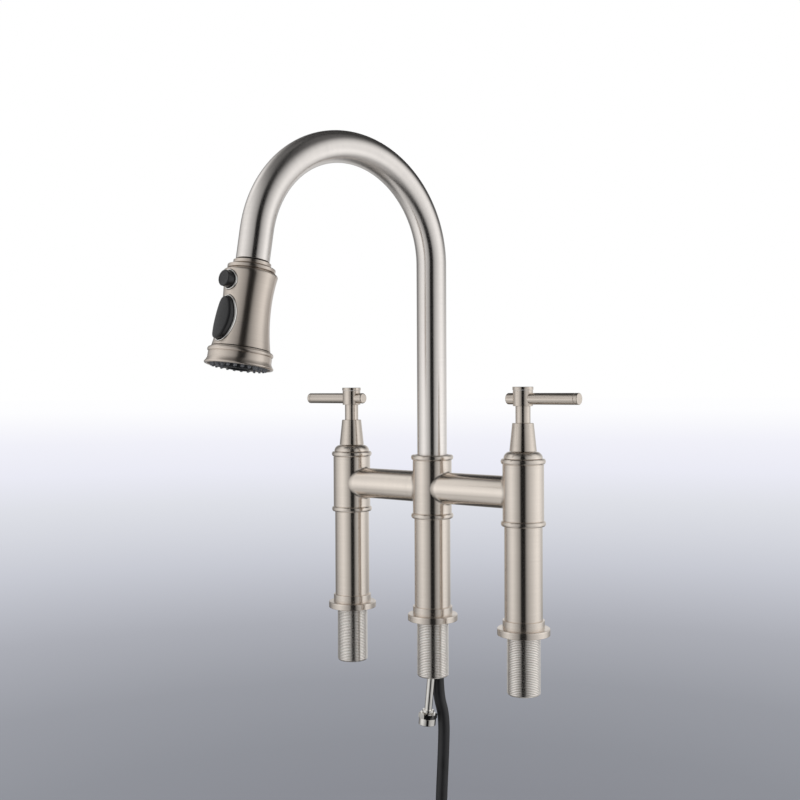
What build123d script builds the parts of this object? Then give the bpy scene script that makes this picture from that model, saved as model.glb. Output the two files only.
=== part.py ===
from build123d import *
import math
import os

os.makedirs("parts", exist_ok=True)

# Bridge kitchen faucet with three deck legs, two lever valves and a pull-down spray.
# The origin is the centre column's axis at the top of the deck. +X runs along the
# bridge to the right valve, -Y points to the user and +Z is up. Millimetres.

# ---- driving dimensions -------------------------------------------------------------

# fits
SEAT = 0.02  # radial clearance of pieces that are seated, brazed or screwed together
RUNNING = 0.05  # radial clearance of pieces that turn or slide in each other
CLEAR = 0.3  # clearance where pieces pass without touching

# feet, legs and threaded shanks
SPREAD = 101.6  # centre column to each valve column, an 8 in spread in all
FLANGE_R = 23.6
FLANGE_T = 6.0
COLLAR_R = 18.7
COLLAR_TOP = 13.3
FOOT_FLOOR = 4.0  # floor under the leg, inside the foot
FOOT_EDGE = 0.8
GASKET_R_OUT = 21.5
GASKET_R_IN = 17.2
GASKET_T = 1.5
LEG_R = 17.0
SHANK_R = 15.0  # M30 x 1.5 thread, major radius
SHANK_LENGTH = 52.9  # below the deck
SHANK_NECK_R = 14.2  # its upper thread, through the foot and into the leg
SHANK_ENGAGED = 10.0  # screwed into the leg above the foot's floor
SHANK_CHAMFER = 1.0
SIDE_SHANK_BORE_R = 11.0
CENTRE_SHANK_BORE_R = 12.5
LEG_BORE_R = 15.0
SPIGOT_LENGTH = 6.0  # top of the leg, inside the body
SPIGOT_R = 15.1
SPIGOT_WALL = 0.9

# column bodies between their two beads
BODY_R = 18.4
BODY_BOTTOM = 96.4  # top of the leg
BODY_H = 59.8
BEAD_R = 20.0
BEAD_T = 4.8
GROOVE_T = 0.6  # fine groove beside each bead
GROOVE_DEPTH = 0.35
SPIGOT_GAP = 1.6  # above the spigot
FLOOR_T = 4.0
INLET_R = 6.5
CHAMBER_R = 12.0
HUB_CHAMBER_R = 15.0
CAP_BORE_R = 14.5  # threaded mouth that takes the bonnet
CAP_BORE_DEPTH = 16.2

# bridge tubes and the nipples inside their ends
BRIDGE_RISE = 29.0  # its axis above the bottom of the bodies
BRIDGE_R = 14.7
BRIDGE_WALL = 1.3
NIPPLE_R = 9.5
NIPPLE_WALL = 1.4
NIPPLE_IN = 4.0  # reach into the body, from its outside
NIPPLE_STEP = 1.0  # between the body and the nipple's flange
NIPPLE_FLANGE_T = 5.0

# bonnets and cartridges
DOME_R = 17.35
DOME_TOP_R = 12.6
DOME_H = 6.2
DOME_EDGE = 0.6
BONNET_BORE_R = 8.2
SPINDLE_HOLE_R = 4.8
CARTRIDGE_R = 9.5
CARTRIDGE_FOOT_T = 4.5
CARTRIDGE_FLANGE_T = 4.0
NECK_R = 7.8
NECK_H = 6.0
DISC_R = 7.6
DISC_T = 3.0
DISC_PORT_R = 1.9
DISC_PORT_AT = 3.8  # from the disc's axis
WINDOW_W = 7.0
DRIVER_R = 6.8
DRIVER_T = 4.0
SPINDLE_R = 4.4
SPLINE_R = 4.0
SPLINE_TEETH = 12
SPLINE_TOOTH = 1.0
SPLINE_RISE = 8.1  # above the bottom of the cone

# handles
HANDLE_GAP = 0.5  # dark line between the bonnet and the cone
CONE_R_BOTTOM = 12.15
CONE_R_TOP = 9.55
CONE_H = 24.9
CONE_RELIEF = 1.5
STUD_R = 5.0
STUD_LENGTH = 9.0
STEM_R = 6.65
STEM_H = 15.05
HUB_R = 8.9
HUB_H = 17.15
HUB_CAP_R = 9.3
HUB_CAP_T = 3.0
HUB_CAP_STUD_R = 3.8
HUB_EDGE = 0.4
LEVER_RISE = 6.45  # its axis above the bottom of the hub
LEVER_R = 5.15
LEVER_LONG = 57.0
LEVER_STUB = 16.0
LEVER_CAP_T = 3.7
LEVER_PLUG_R = 2.6
LEVER_PLUG = 4.0
LEVER_ROUND = 0.9
GRUB_R = 2.0  # of each screw hole
GRUB_RISE = 6.0  # of the hole in the back of the cone, above the cone's bottom

# gooseneck spout
SPOUT_R = 14.0
SPOUT_WALL = 1.5
SPOUT_BEND_R = 97.8
SPOUT_BEND = 170.8  # degrees of arc
SPOUT_RISER = 178.2  # straight length above the hub
SPOUT_END = 25.6  # straight length after the arc
SPOUT_SWING = 10.5  # degrees that the spout is turned to the left of straight ahead
SOCKET_R = 15.0
SOCKET_DEPTH = 16.2
WASHER_T = 1.0
WASHER_R_IN = 10.5
JOURNAL_T = 6.0
JOURNAL_SPIGOT = 10.0
JOURNAL_BORE_R = 9.5
JOURNAL_GROOVE_R = 13.4
JOURNAL_GROOVE_T = 3.6
BUSH_R_IN = 14.05
DOCK_LENGTH = 16.0
DOCK_R = 10.4

# spray head, measured down its own axis from the middle of the seam under the spout
SEAM = 0.6
NECK_RING_R = 15.6
NECK_RING_END = 4.7
NECK_BEAD_R = 19.8
NECK_END = 9.0
SHELL_R_TOP = 22.3
SHELL_R_WAIST = 20.15
SHELL_R_END = 24.2
SHELL_SHOULDER = 11.8
SHELL_SHOULDER_R = 19.2
WAIST_AT = 36.0
SHELL_END = 73.6
SHELL_WALL = 1.6
SKIRT_START = 74.1
SKIRT_WEB = 2.4
SKIRT_LIP = 1.8
SKIRT_BEAD_START = 74.8
SKIRT_BEAD_END = 78.5
SKIRT_NECK_R = 25.0
SKIRT_BEAD_R = 26.7
SKIRT_LAND = 0.4
SKIRT_BAND_START = 79.4
SKIRT_BAND_END = 83.0
SKIRT_BAND_R = 26.2
SKIRT_RIM_R = 28.4
SKIRT_RIM_ROUND = 1.2
SKIRT_RIM_AT = 87.3
SKIRT_END = 88.6
SKIRT_BORE_R = 24.0
FACE_R = 25.6
FACE_AT = 84.6
FACE_T = 3.0
CORE_SPIGOT_R = 10.1
CORE_SPIGOT = 14.0  # reach above the seam
CORE_STEP_R = 12.0
CORE_STEP_END = 12.2
CORE_R = 17.2
CORE_END = 83.4
CORE_CHAMBER_R = 14.0
CORE_CHAMBER = 11.4
CORE_BORE_R = 4.0
INSERT_R = 11.5
INSERT_PROUD = 1.2
INSERT_RIM = 2.0
INSERT_DEPTH = 2.0
INSERT_HOLES = 12
INSERT_HOLE_R = 0.9
NUB_RINGS = ((22.4, 24), (17.2, 18))  # radius and number of nozzles in each ring
NUB_R = 1.4
NUB_TIP_R = 1.05
NUB_PROUD = 1.4

# controls on the spray head, on the side away from the riser
HEAD_TURN = 7.0  # degrees that the head is turned on its hose, towards the right-hand valve
BUTTON_AT = 20.2
BUTTON_R = 6.7
BUTTON_PROUD = 7.1  # from the waist of the shell
BUTTON_GAP = 0.5
BUTTON_ROUND = 0.8
SPRING_R = 4.6
SPRING_WALL = 1.2
SPRING_LENGTH = 4.0
BEZEL_W = 0.95
BEZEL_PROUD = 0.7
BEZEL_DEPTH = 5.6  # from the waist of the shell
PAD_AT = 52.0
PAD_LONG = 35.6
PAD_WIDE = 18.6
PAD_END_R = 7.0
PAD_R_HIGH = 24.1  # of its face about the head's axis, at the pad's upper end
PAD_R_MID = 25.6
PAD_R_LOW = 28.7
PAD_ROUND = 1.4
PAD_GAP = 0.6
PAD_FLOOR = 13.5  # bottom of the pad's pocket, from the head's axis
PAD_BOTTOM = 15.2
PAD_PIVOT = 17.0
PIN_R = 1.5
LUG_R = 2.7
LUG_W = 4.0
LUG_GAP = 0.5

# hose and mixed-water outlet
HOSE_R = 5.5
HOSE_SPLIT = 4.0  # the hose's halves meet this far below the journal's top
HOSE_START = 3.0  # pulled length starts this far past the end of the spout's arc
SLEEVE_R_IN = 5.8
SLEEVE_WALL = 0.8
NUT_BALL_R = 7.2
NUT_BALL_TOP = 12.0
NUT_BALL_END = 7.5
COIL_R = 55.0
COIL_QUARTERS = 7
COIL_PITCH = 13.0
CONNECTOR_R = 7.0
CONNECTOR_FERRULE_R = 6.3
CONNECTOR_FERRULE = 14.0
CONNECTOR_LENGTH = 25.0
TIE_T = 1.0
TIE_H = 6.0
OUTLET_R = 3.6
OUTLET_WALL = 0.7
OUTLET_PORT = 10.5  # from the column's axis
OUTLET_SPIGOT_R = 3.0
OUTLET_BEND_R = 120.0
OUTLET_COLLAR_R = 5.6
OUTLET_COLLAR_AT = 31.4  # along the tube from the bottom of the shank
OUTLET_COLLAR_T = 4.4
NUT_ACROSS = 15.4
NUT_HEX_T = 5.9
NUT_WEB = 3.0
NUT_ROUND_R = 8.0
NUT_LENGTH = 12.7
NUT_BORE_R = 6.4
FERRULE_T = 2.0
HANG_TURN = 39.2  # degrees from +X to the plane that the hose and outlet hang in

# Where the hose and the outlet tube run: across the hanging plane, in front of it, height.
HOSE_INSIDE = ((0, 0, 80), (5, -4, 0))
HOSE_OUTSIDE = ((5, -72), (10.9, -93), (9.7, -131), (7.3, -180), (7.3, -240.5))
OUTLET_POINTS = ((0, 10.5, 80), (0.27, 4, -30))
OUTLET_LEAN = 5.2  # degrees at its lower end

# ---- places worked out from them ----------------------------------------------------

BASE = (Align.CENTER, Align.CENTER, Align.MIN)
SIDES = (("left", -1), ("right", 1))
COLUMNS = (("left", -SPREAD), ("centre", 0.0), ("right", SPREAD))

BODY_TOP = BODY_BOTTOM + BODY_H
BRIDGE_Z = BODY_BOTTOM + BRIDGE_RISE
BODY_FLOOR = BODY_BOTTOM + SPIGOT_LENGTH + SPIGOT_GAP
CHAMBER_FLOOR = BODY_FLOOR + FLOOR_T
CAP_SEAT = BODY_TOP - CAP_BORE_DEPTH
BONNET_LOW = CAP_SEAT + CARTRIDGE_FLANGE_T
NECK_TOP = BONNET_LOW + NECK_H
DOME_TOP = BODY_TOP + DOME_H
CONE_BOTTOM = DOME_TOP + HANDLE_GAP
DISC_LOW = CHAMBER_FLOOR + CARTRIDGE_FOOT_T
TURNING_LOW = DISC_LOW + DISC_T + RUNNING
DRIVER_LOW = TURNING_LOW + DISC_T
DRIVER_TOP = DRIVER_LOW + DRIVER_T
SPLINE_LOW = CONE_BOTTOM + CONE_RELIEF / 2
SPLINE_TOP = CONE_BOTTOM + SPLINE_RISE
GRUB_Z = CONE_BOTTOM + GRUB_RISE
CONE_TOP = CONE_BOTTOM + CONE_H
HUB_BOTTOM = CONE_TOP + STEM_H
HUB_TOP = HUB_BOTTOM + HUB_H
LEVER_Z = HUB_BOTTOM + LEVER_RISE

SOCKET_FLOOR = BODY_TOP - SOCKET_DEPTH
JOURNAL_LOW = SOCKET_FLOOR + WASHER_T
JOURNAL_TOP = JOURNAL_LOW + JOURNAL_T
JOURNAL_MID = JOURNAL_LOW + JOURNAL_T / 2
SLEEVE_R = SLEEVE_R_IN + SLEEVE_WALL
HOSE_MEET = JOURNAL_TOP - HOSE_SPLIT
SPOUT_RISER_TOP = BODY_TOP + SPOUT_RISER

UP = Vector(0, 0, 1)
AHEAD = math.radians(-90 - SPOUT_SWING)
OUT = Vector(math.cos(AHEAD), math.sin(AHEAD), 0)  # level, away from the riser
TILT = math.radians(180 - SPOUT_BEND)
DOWN_HEAD = OUT * math.sin(TILT) - UP * math.cos(TILT)  # along the head's axis
OUT_HEAD = OUT * math.cos(TILT) + UP * math.sin(TILT)  # across it, away from the riser
HALF_BEND = math.radians(SPOUT_BEND / 2)
ARC_START = UP * SPOUT_RISER_TOP
ARC_MIDDLE = (
    OUT * SPOUT_BEND_R * (1 - math.cos(HALF_BEND))
    + UP * (SPOUT_RISER_TOP + SPOUT_BEND_R * math.sin(HALF_BEND))
)
ARC_END = (
    OUT * SPOUT_BEND_R * (1 + math.cos(TILT))
    + UP * (SPOUT_RISER_TOP + SPOUT_BEND_R * math.sin(TILT))
)
SPOUT_LIP = ARC_END + DOWN_HEAD * SPOUT_END
HEAD_TOP = SPOUT_LIP + DOWN_HEAD * (SEAM / 2)
HEAD_AXIS = Axis(HEAD_TOP, DOWN_HEAD)
CONTROL_OUT = OUT_HEAD.rotate(HEAD_AXIS, -HEAD_TURN)  # across the head, through its controls
HEAD_SIDE = Plane(origin=HEAD_TOP, x_dir=CONTROL_OUT, z_dir=CONTROL_OUT.cross(DOWN_HEAD))
HEAD_ROUND = Plane(origin=HEAD_TOP, x_dir=CONTROL_OUT, z_dir=DOWN_HEAD)

TURN = math.radians(HANG_TURN)
ACROSS = Vector(math.cos(TURN), math.sin(TURN), 0)
FRONT = Vector(math.sin(TURN), -math.cos(TURN), 0)


def hung(across, front, height):
    """Point under the deck: across the hanging plane, in front of it, and its height."""
    return ACROSS * across + FRONT * front + UP * height


def upright(x):
    """Plane of an outline turned about the column at x: radius across, height up."""
    return Plane(origin=(x, 0, 0), x_dir=(1, 0, 0), z_dir=(0, -1, 0))


def column_axis(x):
    """Axis of the column at x."""
    return Axis((x, 0, 0), (0, 0, 1))


def control(at, reach):
    """Plane across the head's side at a distance down its axis and out from it."""
    centre = HEAD_TOP + DOWN_HEAD * at + CONTROL_OUT * reach
    return Plane(origin=centre, x_dir=DOWN_HEAD, z_dir=CONTROL_OUT)


# ---- feet, gaskets, threaded shanks and legs ------------------------------------------

for name, x in COLUMNS:
    with BuildPart() as foot:
        with BuildSketch(upright(x)):
            with BuildLine():
                Polyline(
                    (SHANK_NECK_R + RUNNING, 0),
                    (GASKET_R_IN, 0),
                    (GASKET_R_IN, GASKET_T),
                    (GASKET_R_OUT, GASKET_T),
                    (GASKET_R_OUT, 0),
                    (FLANGE_R, 0),
                    (FLANGE_R, FLANGE_T - FOOT_EDGE),
                    (FLANGE_R - FOOT_EDGE, FLANGE_T),
                    (COLLAR_R, FLANGE_T),
                    (COLLAR_R, COLLAR_TOP - FOOT_EDGE / 2),
                    (COLLAR_R - FOOT_EDGE / 2, COLLAR_TOP),
                    (LEG_R + SEAT, COLLAR_TOP),
                    (LEG_R + SEAT, FOOT_FLOOR),
                    (SHANK_NECK_R + RUNNING, FOOT_FLOOR),
                    close=True,
                )
            make_face()
        revolve(axis=column_axis(x))
    foot.part.label = f"{name}_foot"
    export_step(foot.part, f"parts/{name}_foot.step")

    bore = CENTRE_SHANK_BORE_R if name == "centre" else SIDE_SHANK_BORE_R
    with BuildPart() as shank:
        with BuildSketch(upright(x)):
            with BuildLine():
                Polyline(
                    (bore, -SHANK_LENGTH),
                    (SHANK_R - SHANK_CHAMFER, -SHANK_LENGTH),
                    (SHANK_R, SHANK_CHAMFER - SHANK_LENGTH),
                    (SHANK_R, 0),
                    (SHANK_NECK_R, 0),
                    (SHANK_NECK_R, FOOT_FLOOR + SHANK_ENGAGED),
                    (bore, FOOT_FLOOR + SHANK_ENGAGED),
                    close=True,
                )
            make_face()
        revolve(axis=column_axis(x))
    shank.part.label = f"{name}_shank"
    export_step(shank.part, f"parts/{name}_shank.step")

    with BuildPart() as leg:
        with BuildSketch(upright(x)):
            with BuildLine():
                Polyline(
                    (SHANK_NECK_R + SEAT, FOOT_FLOOR),
                    (LEG_R, FOOT_FLOOR),
                    (LEG_R, BODY_BOTTOM),
                    (SPIGOT_R, BODY_BOTTOM),
                    (SPIGOT_R, BODY_BOTTOM + SPIGOT_LENGTH),
                    (SPIGOT_R - SPIGOT_WALL, BODY_BOTTOM + SPIGOT_LENGTH),
                    (SPIGOT_R - SPIGOT_WALL, BODY_BOTTOM - SPIGOT_LENGTH),
                    (LEG_BORE_R, BODY_BOTTOM - SPIGOT_LENGTH - SPIGOT_WALL),
                    (LEG_BORE_R, FOOT_FLOOR + SHANK_ENGAGED),
                    (SHANK_NECK_R + SEAT, FOOT_FLOOR + SHANK_ENGAGED),
                    close=True,
                )
            make_face()
        revolve(axis=column_axis(x))
    leg.part.label = f"{name}_leg"
    export_step(leg.part, f"parts/{name}_leg.step")

with BuildPart() as foot_gaskets:
    with BuildSketch():
        with Locations(*[(x, 0) for _, x in COLUMNS]):
            Circle(GASKET_R_OUT - SEAT)
            Circle(GASKET_R_IN + SEAT, mode=Mode.SUBTRACT)
    extrude(amount=GASKET_T)
foot_gaskets.part.label = "foot_gaskets"
export_step(foot_gaskets.part, "parts/foot_gaskets.step")

# ---- column bodies --------------------------------------------------------------------


def body_outline(x):
    """Half outline of a solid column body, with a half-round bead at each end."""
    low, high = BODY_BOTTOM + BEAD_T, BODY_TOP - BEAD_T
    waist = BODY_R - GROOVE_DEPTH
    with BuildSketch(upright(x)) as half:
        with BuildLine():
            ThreePointArc((BODY_R, BODY_BOTTOM), (BEAD_R, BODY_BOTTOM + BEAD_T / 2), (BODY_R, low))
            Polyline(
                (BODY_R, low),
                (waist, low),
                (waist, low + GROOVE_T),
                (BODY_R, low + GROOVE_T),
                (BODY_R, high - GROOVE_T),
                (waist, high - GROOVE_T),
                (waist, high),
                (BODY_R, high),
            )
            ThreePointArc((BODY_R, high), (BEAD_R, BODY_TOP - BEAD_T / 2), (BODY_R, BODY_TOP))
            Polyline((BODY_R, BODY_TOP), (0, BODY_TOP), (0, BODY_BOTTOM), (BODY_R, BODY_BOTTOM))
        make_face()
    return half.sketch


for name, side in SIDES:
    x = side * SPREAD
    with BuildPart() as valve_body:
        revolve(body_outline(x), axis=column_axis(x))
        with Locations((x, 0, BODY_BOTTOM)):
            Cylinder(SPIGOT_R + SEAT, BODY_FLOOR - BODY_BOTTOM, align=BASE, mode=Mode.SUBTRACT)
            Cylinder(INLET_R, BODY_TOP - BODY_BOTTOM, align=BASE, mode=Mode.SUBTRACT)
        with Locations((x, 0, CHAMBER_FLOOR)):
            Cylinder(CHAMBER_R, BODY_TOP - CHAMBER_FLOOR, align=BASE, mode=Mode.SUBTRACT)
        with Locations((x, 0, CAP_SEAT)):
            Cylinder(CAP_BORE_R, CAP_BORE_DEPTH, align=BASE, mode=Mode.SUBTRACT)
        # port towards the bridge
        with BuildSketch(Plane(origin=(x, 0, BRIDGE_Z), x_dir=(0, 1, 0), z_dir=(-side, 0, 0))):
            Circle(NIPPLE_R + SEAT)
        extrude(amount=BEAD_R, mode=Mode.SUBTRACT)
    valve_body.part.label = f"{name}_valve_body"
    export_step(valve_body.part, f"parts/{name}_valve_body.step")

# The hub mixes the two flows around an inner sleeve, which the hose passes through.
with BuildPart() as centre_hub:
    revolve(body_outline(0), axis=column_axis(0))
    with Locations((0, 0, BODY_BOTTOM)):
        Cylinder(SPIGOT_R + SEAT, BODY_FLOOR - BODY_BOTTOM, align=BASE, mode=Mode.SUBTRACT)
        Cylinder(SLEEVE_R_IN, BODY_TOP - BODY_BOTTOM, align=BASE, mode=Mode.SUBTRACT)
    with BuildSketch(Plane.XY.offset(CHAMBER_FLOOR)):
        Circle(HUB_CHAMBER_R)
        Circle(SLEEVE_R, mode=Mode.SUBTRACT)
    extrude(amount=SOCKET_FLOOR - FLOOR_T - CHAMBER_FLOOR, mode=Mode.SUBTRACT)
    with Locations((0, 0, SOCKET_FLOOR)):
        Cylinder(SOCKET_R, SOCKET_DEPTH, align=BASE, mode=Mode.SUBTRACT)
    for way in (-1, 1):
        port = Plane(origin=(0, 0, BRIDGE_Z), x_dir=(0, 1, 0), z_dir=(way, 0, 0))
        with BuildSketch(port.offset(BODY_R - NIPPLE_IN)):
            Circle(NIPPLE_R + SEAT)
        extrude(amount=NIPPLE_IN + BODY_R, mode=Mode.SUBTRACT)
    with Locations(hung(0, OUTLET_PORT, BODY_FLOOR)):
        Cylinder(OUTLET_SPIGOT_R + SEAT, FLOOR_T, align=BASE, mode=Mode.SUBTRACT)
    with BuildSketch(Plane(origin=(0, 0, JOURNAL_MID), x_dir=(1, 0, 0), z_dir=(0, 1, 0))):
        Circle(GRUB_R + SEAT)
    extrude(amount=BEAD_R, mode=Mode.SUBTRACT)
centre_hub.part.label = "centre_hub"
export_step(centre_hub.part, "parts/centre_hub.step")

# ---- bridge tubes and the nipples that carry them ---------------------------------------

for name, side in SIDES:
    with BuildPart() as bridge_tube:
        with BuildSketch(Plane(origin=(0, 0, BRIDGE_Z), x_dir=(0, 1, 0), z_dir=(side, 0, 0))):
            Circle(BRIDGE_R)
            Circle(BRIDGE_R - BRIDGE_WALL, mode=Mode.SUBTRACT)
        extrude(amount=SPREAD)
        # both ends are coped to the round bodies
        with Locations((0, 0, BRIDGE_Z), (side * SPREAD, 0, BRIDGE_Z)):
            Cylinder(BODY_R + SEAT, 3 * BRIDGE_R, mode=Mode.SUBTRACT)
    bridge_tube.part.label = f"{name}_bridge_tube"
    export_step(bridge_tube.part, f"parts/{name}_bridge_tube.step")

with BuildPart() as bridge_nipples:
    for x, way in ((0, 1), (0, -1), (-SPREAD, 1), (SPREAD, -1)):
        port = Plane(origin=(x, 0, BRIDGE_Z), x_dir=(0, 1, 0), z_dir=(way, 0, 0))
        with BuildSketch(port.offset(BODY_R - NIPPLE_IN)):
            Circle(NIPPLE_R)
            Circle(NIPPLE_R - NIPPLE_WALL, mode=Mode.SUBTRACT)
        extrude(amount=NIPPLE_IN + NIPPLE_STEP)
        with BuildSketch(port.offset(BODY_R + NIPPLE_STEP)):
            Circle(BRIDGE_R - BRIDGE_WALL - SEAT)
            Circle(NIPPLE_R - NIPPLE_WALL, mode=Mode.SUBTRACT)
        extrude(amount=NIPPLE_FLANGE_T)
bridge_nipples.part.label = "bridge_nipples"
export_step(bridge_nipples.part, "parts/bridge_nipples.step")

# ---- ceramic cartridges and bonnets -------------------------------------------------------

with BuildPart() as cartridge_shells:
    for _, side in SIDES:
        x = side * SPREAD
        with BuildSketch(upright(x)):
            with BuildLine():
                Polyline(
                    (INLET_R, CHAMBER_FLOOR),
                    (CARTRIDGE_R, CHAMBER_FLOOR),
                    (CARTRIDGE_R, CAP_SEAT),
                    (CAP_BORE_R - SEAT, CAP_SEAT),
                    (CAP_BORE_R - SEAT, BONNET_LOW),
                    (NECK_R, BONNET_LOW),
                    (NECK_R, NECK_TOP),
                    (SPINDLE_R + RUNNING, NECK_TOP),
                    (SPINDLE_R + RUNNING, DRIVER_TOP + CLEAR),
                    (DISC_R + RUNNING, DRIVER_TOP + CLEAR),
                    (DISC_R + RUNNING, DISC_LOW),
                    (INLET_R, DISC_LOW),
                    close=True,
                )
            make_face()
        revolve(axis=column_axis(x))
        # two outlet windows beside the turning disc
        with Locations((x, 0, TURNING_LOW + DISC_T / 2)):
            Box(WINDOW_W, 3 * CARTRIDGE_R, DISC_T, mode=Mode.SUBTRACT)
cartridge_shells.part.label = "cartridge_shells"
export_step(cartridge_shells.part, "parts/cartridge_shells.step")

with BuildPart() as fixed_discs:
    with BuildSketch(Plane.XY.offset(DISC_LOW)):
        with Locations((-SPREAD, 0), (SPREAD, 0)):
            Circle(DISC_R)
            with PolarLocations(DISC_PORT_AT, 2):
                Circle(DISC_PORT_R, mode=Mode.SUBTRACT)
    extrude(amount=DISC_T)
fixed_discs.part.label = "fixed_discs"
export_step(fixed_discs.part, "parts/fixed_discs.step")

for name, side in SIDES:
    x = side * SPREAD
    with BuildPart() as bonnet:
        with BuildSketch(upright(x)):
            with BuildLine():
                Polyline(
                    (DOME_TOP_R, DOME_TOP),
                    (SPINDLE_HOLE_R, DOME_TOP),
                    (SPINDLE_HOLE_R, NECK_TOP + CLEAR),
                    (BONNET_BORE_R, NECK_TOP + CLEAR),
                    (BONNET_BORE_R, BONNET_LOW),
                    (CAP_BORE_R - SEAT, BONNET_LOW),
                    (CAP_BORE_R - SEAT, BODY_TOP),
                    (DOME_R, BODY_TOP),
                    (DOME_R, BODY_TOP + DOME_EDGE),
                )
                ThreePointArc(
                    (DOME_R, BODY_TOP + DOME_EDGE),
                    (DOME_R - 0.28 * (DOME_R - DOME_TOP_R), BODY_TOP + 0.62 * DOME_H),
                    (DOME_TOP_R, DOME_TOP),
                )
            make_face()
        revolve(axis=column_axis(x))
    bonnet.part.label = f"{name}_bonnet"
    export_step(bonnet.part, f"parts/{name}_bonnet.step")

# ---- handles: what turns with each lever --------------------------------------------------

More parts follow.
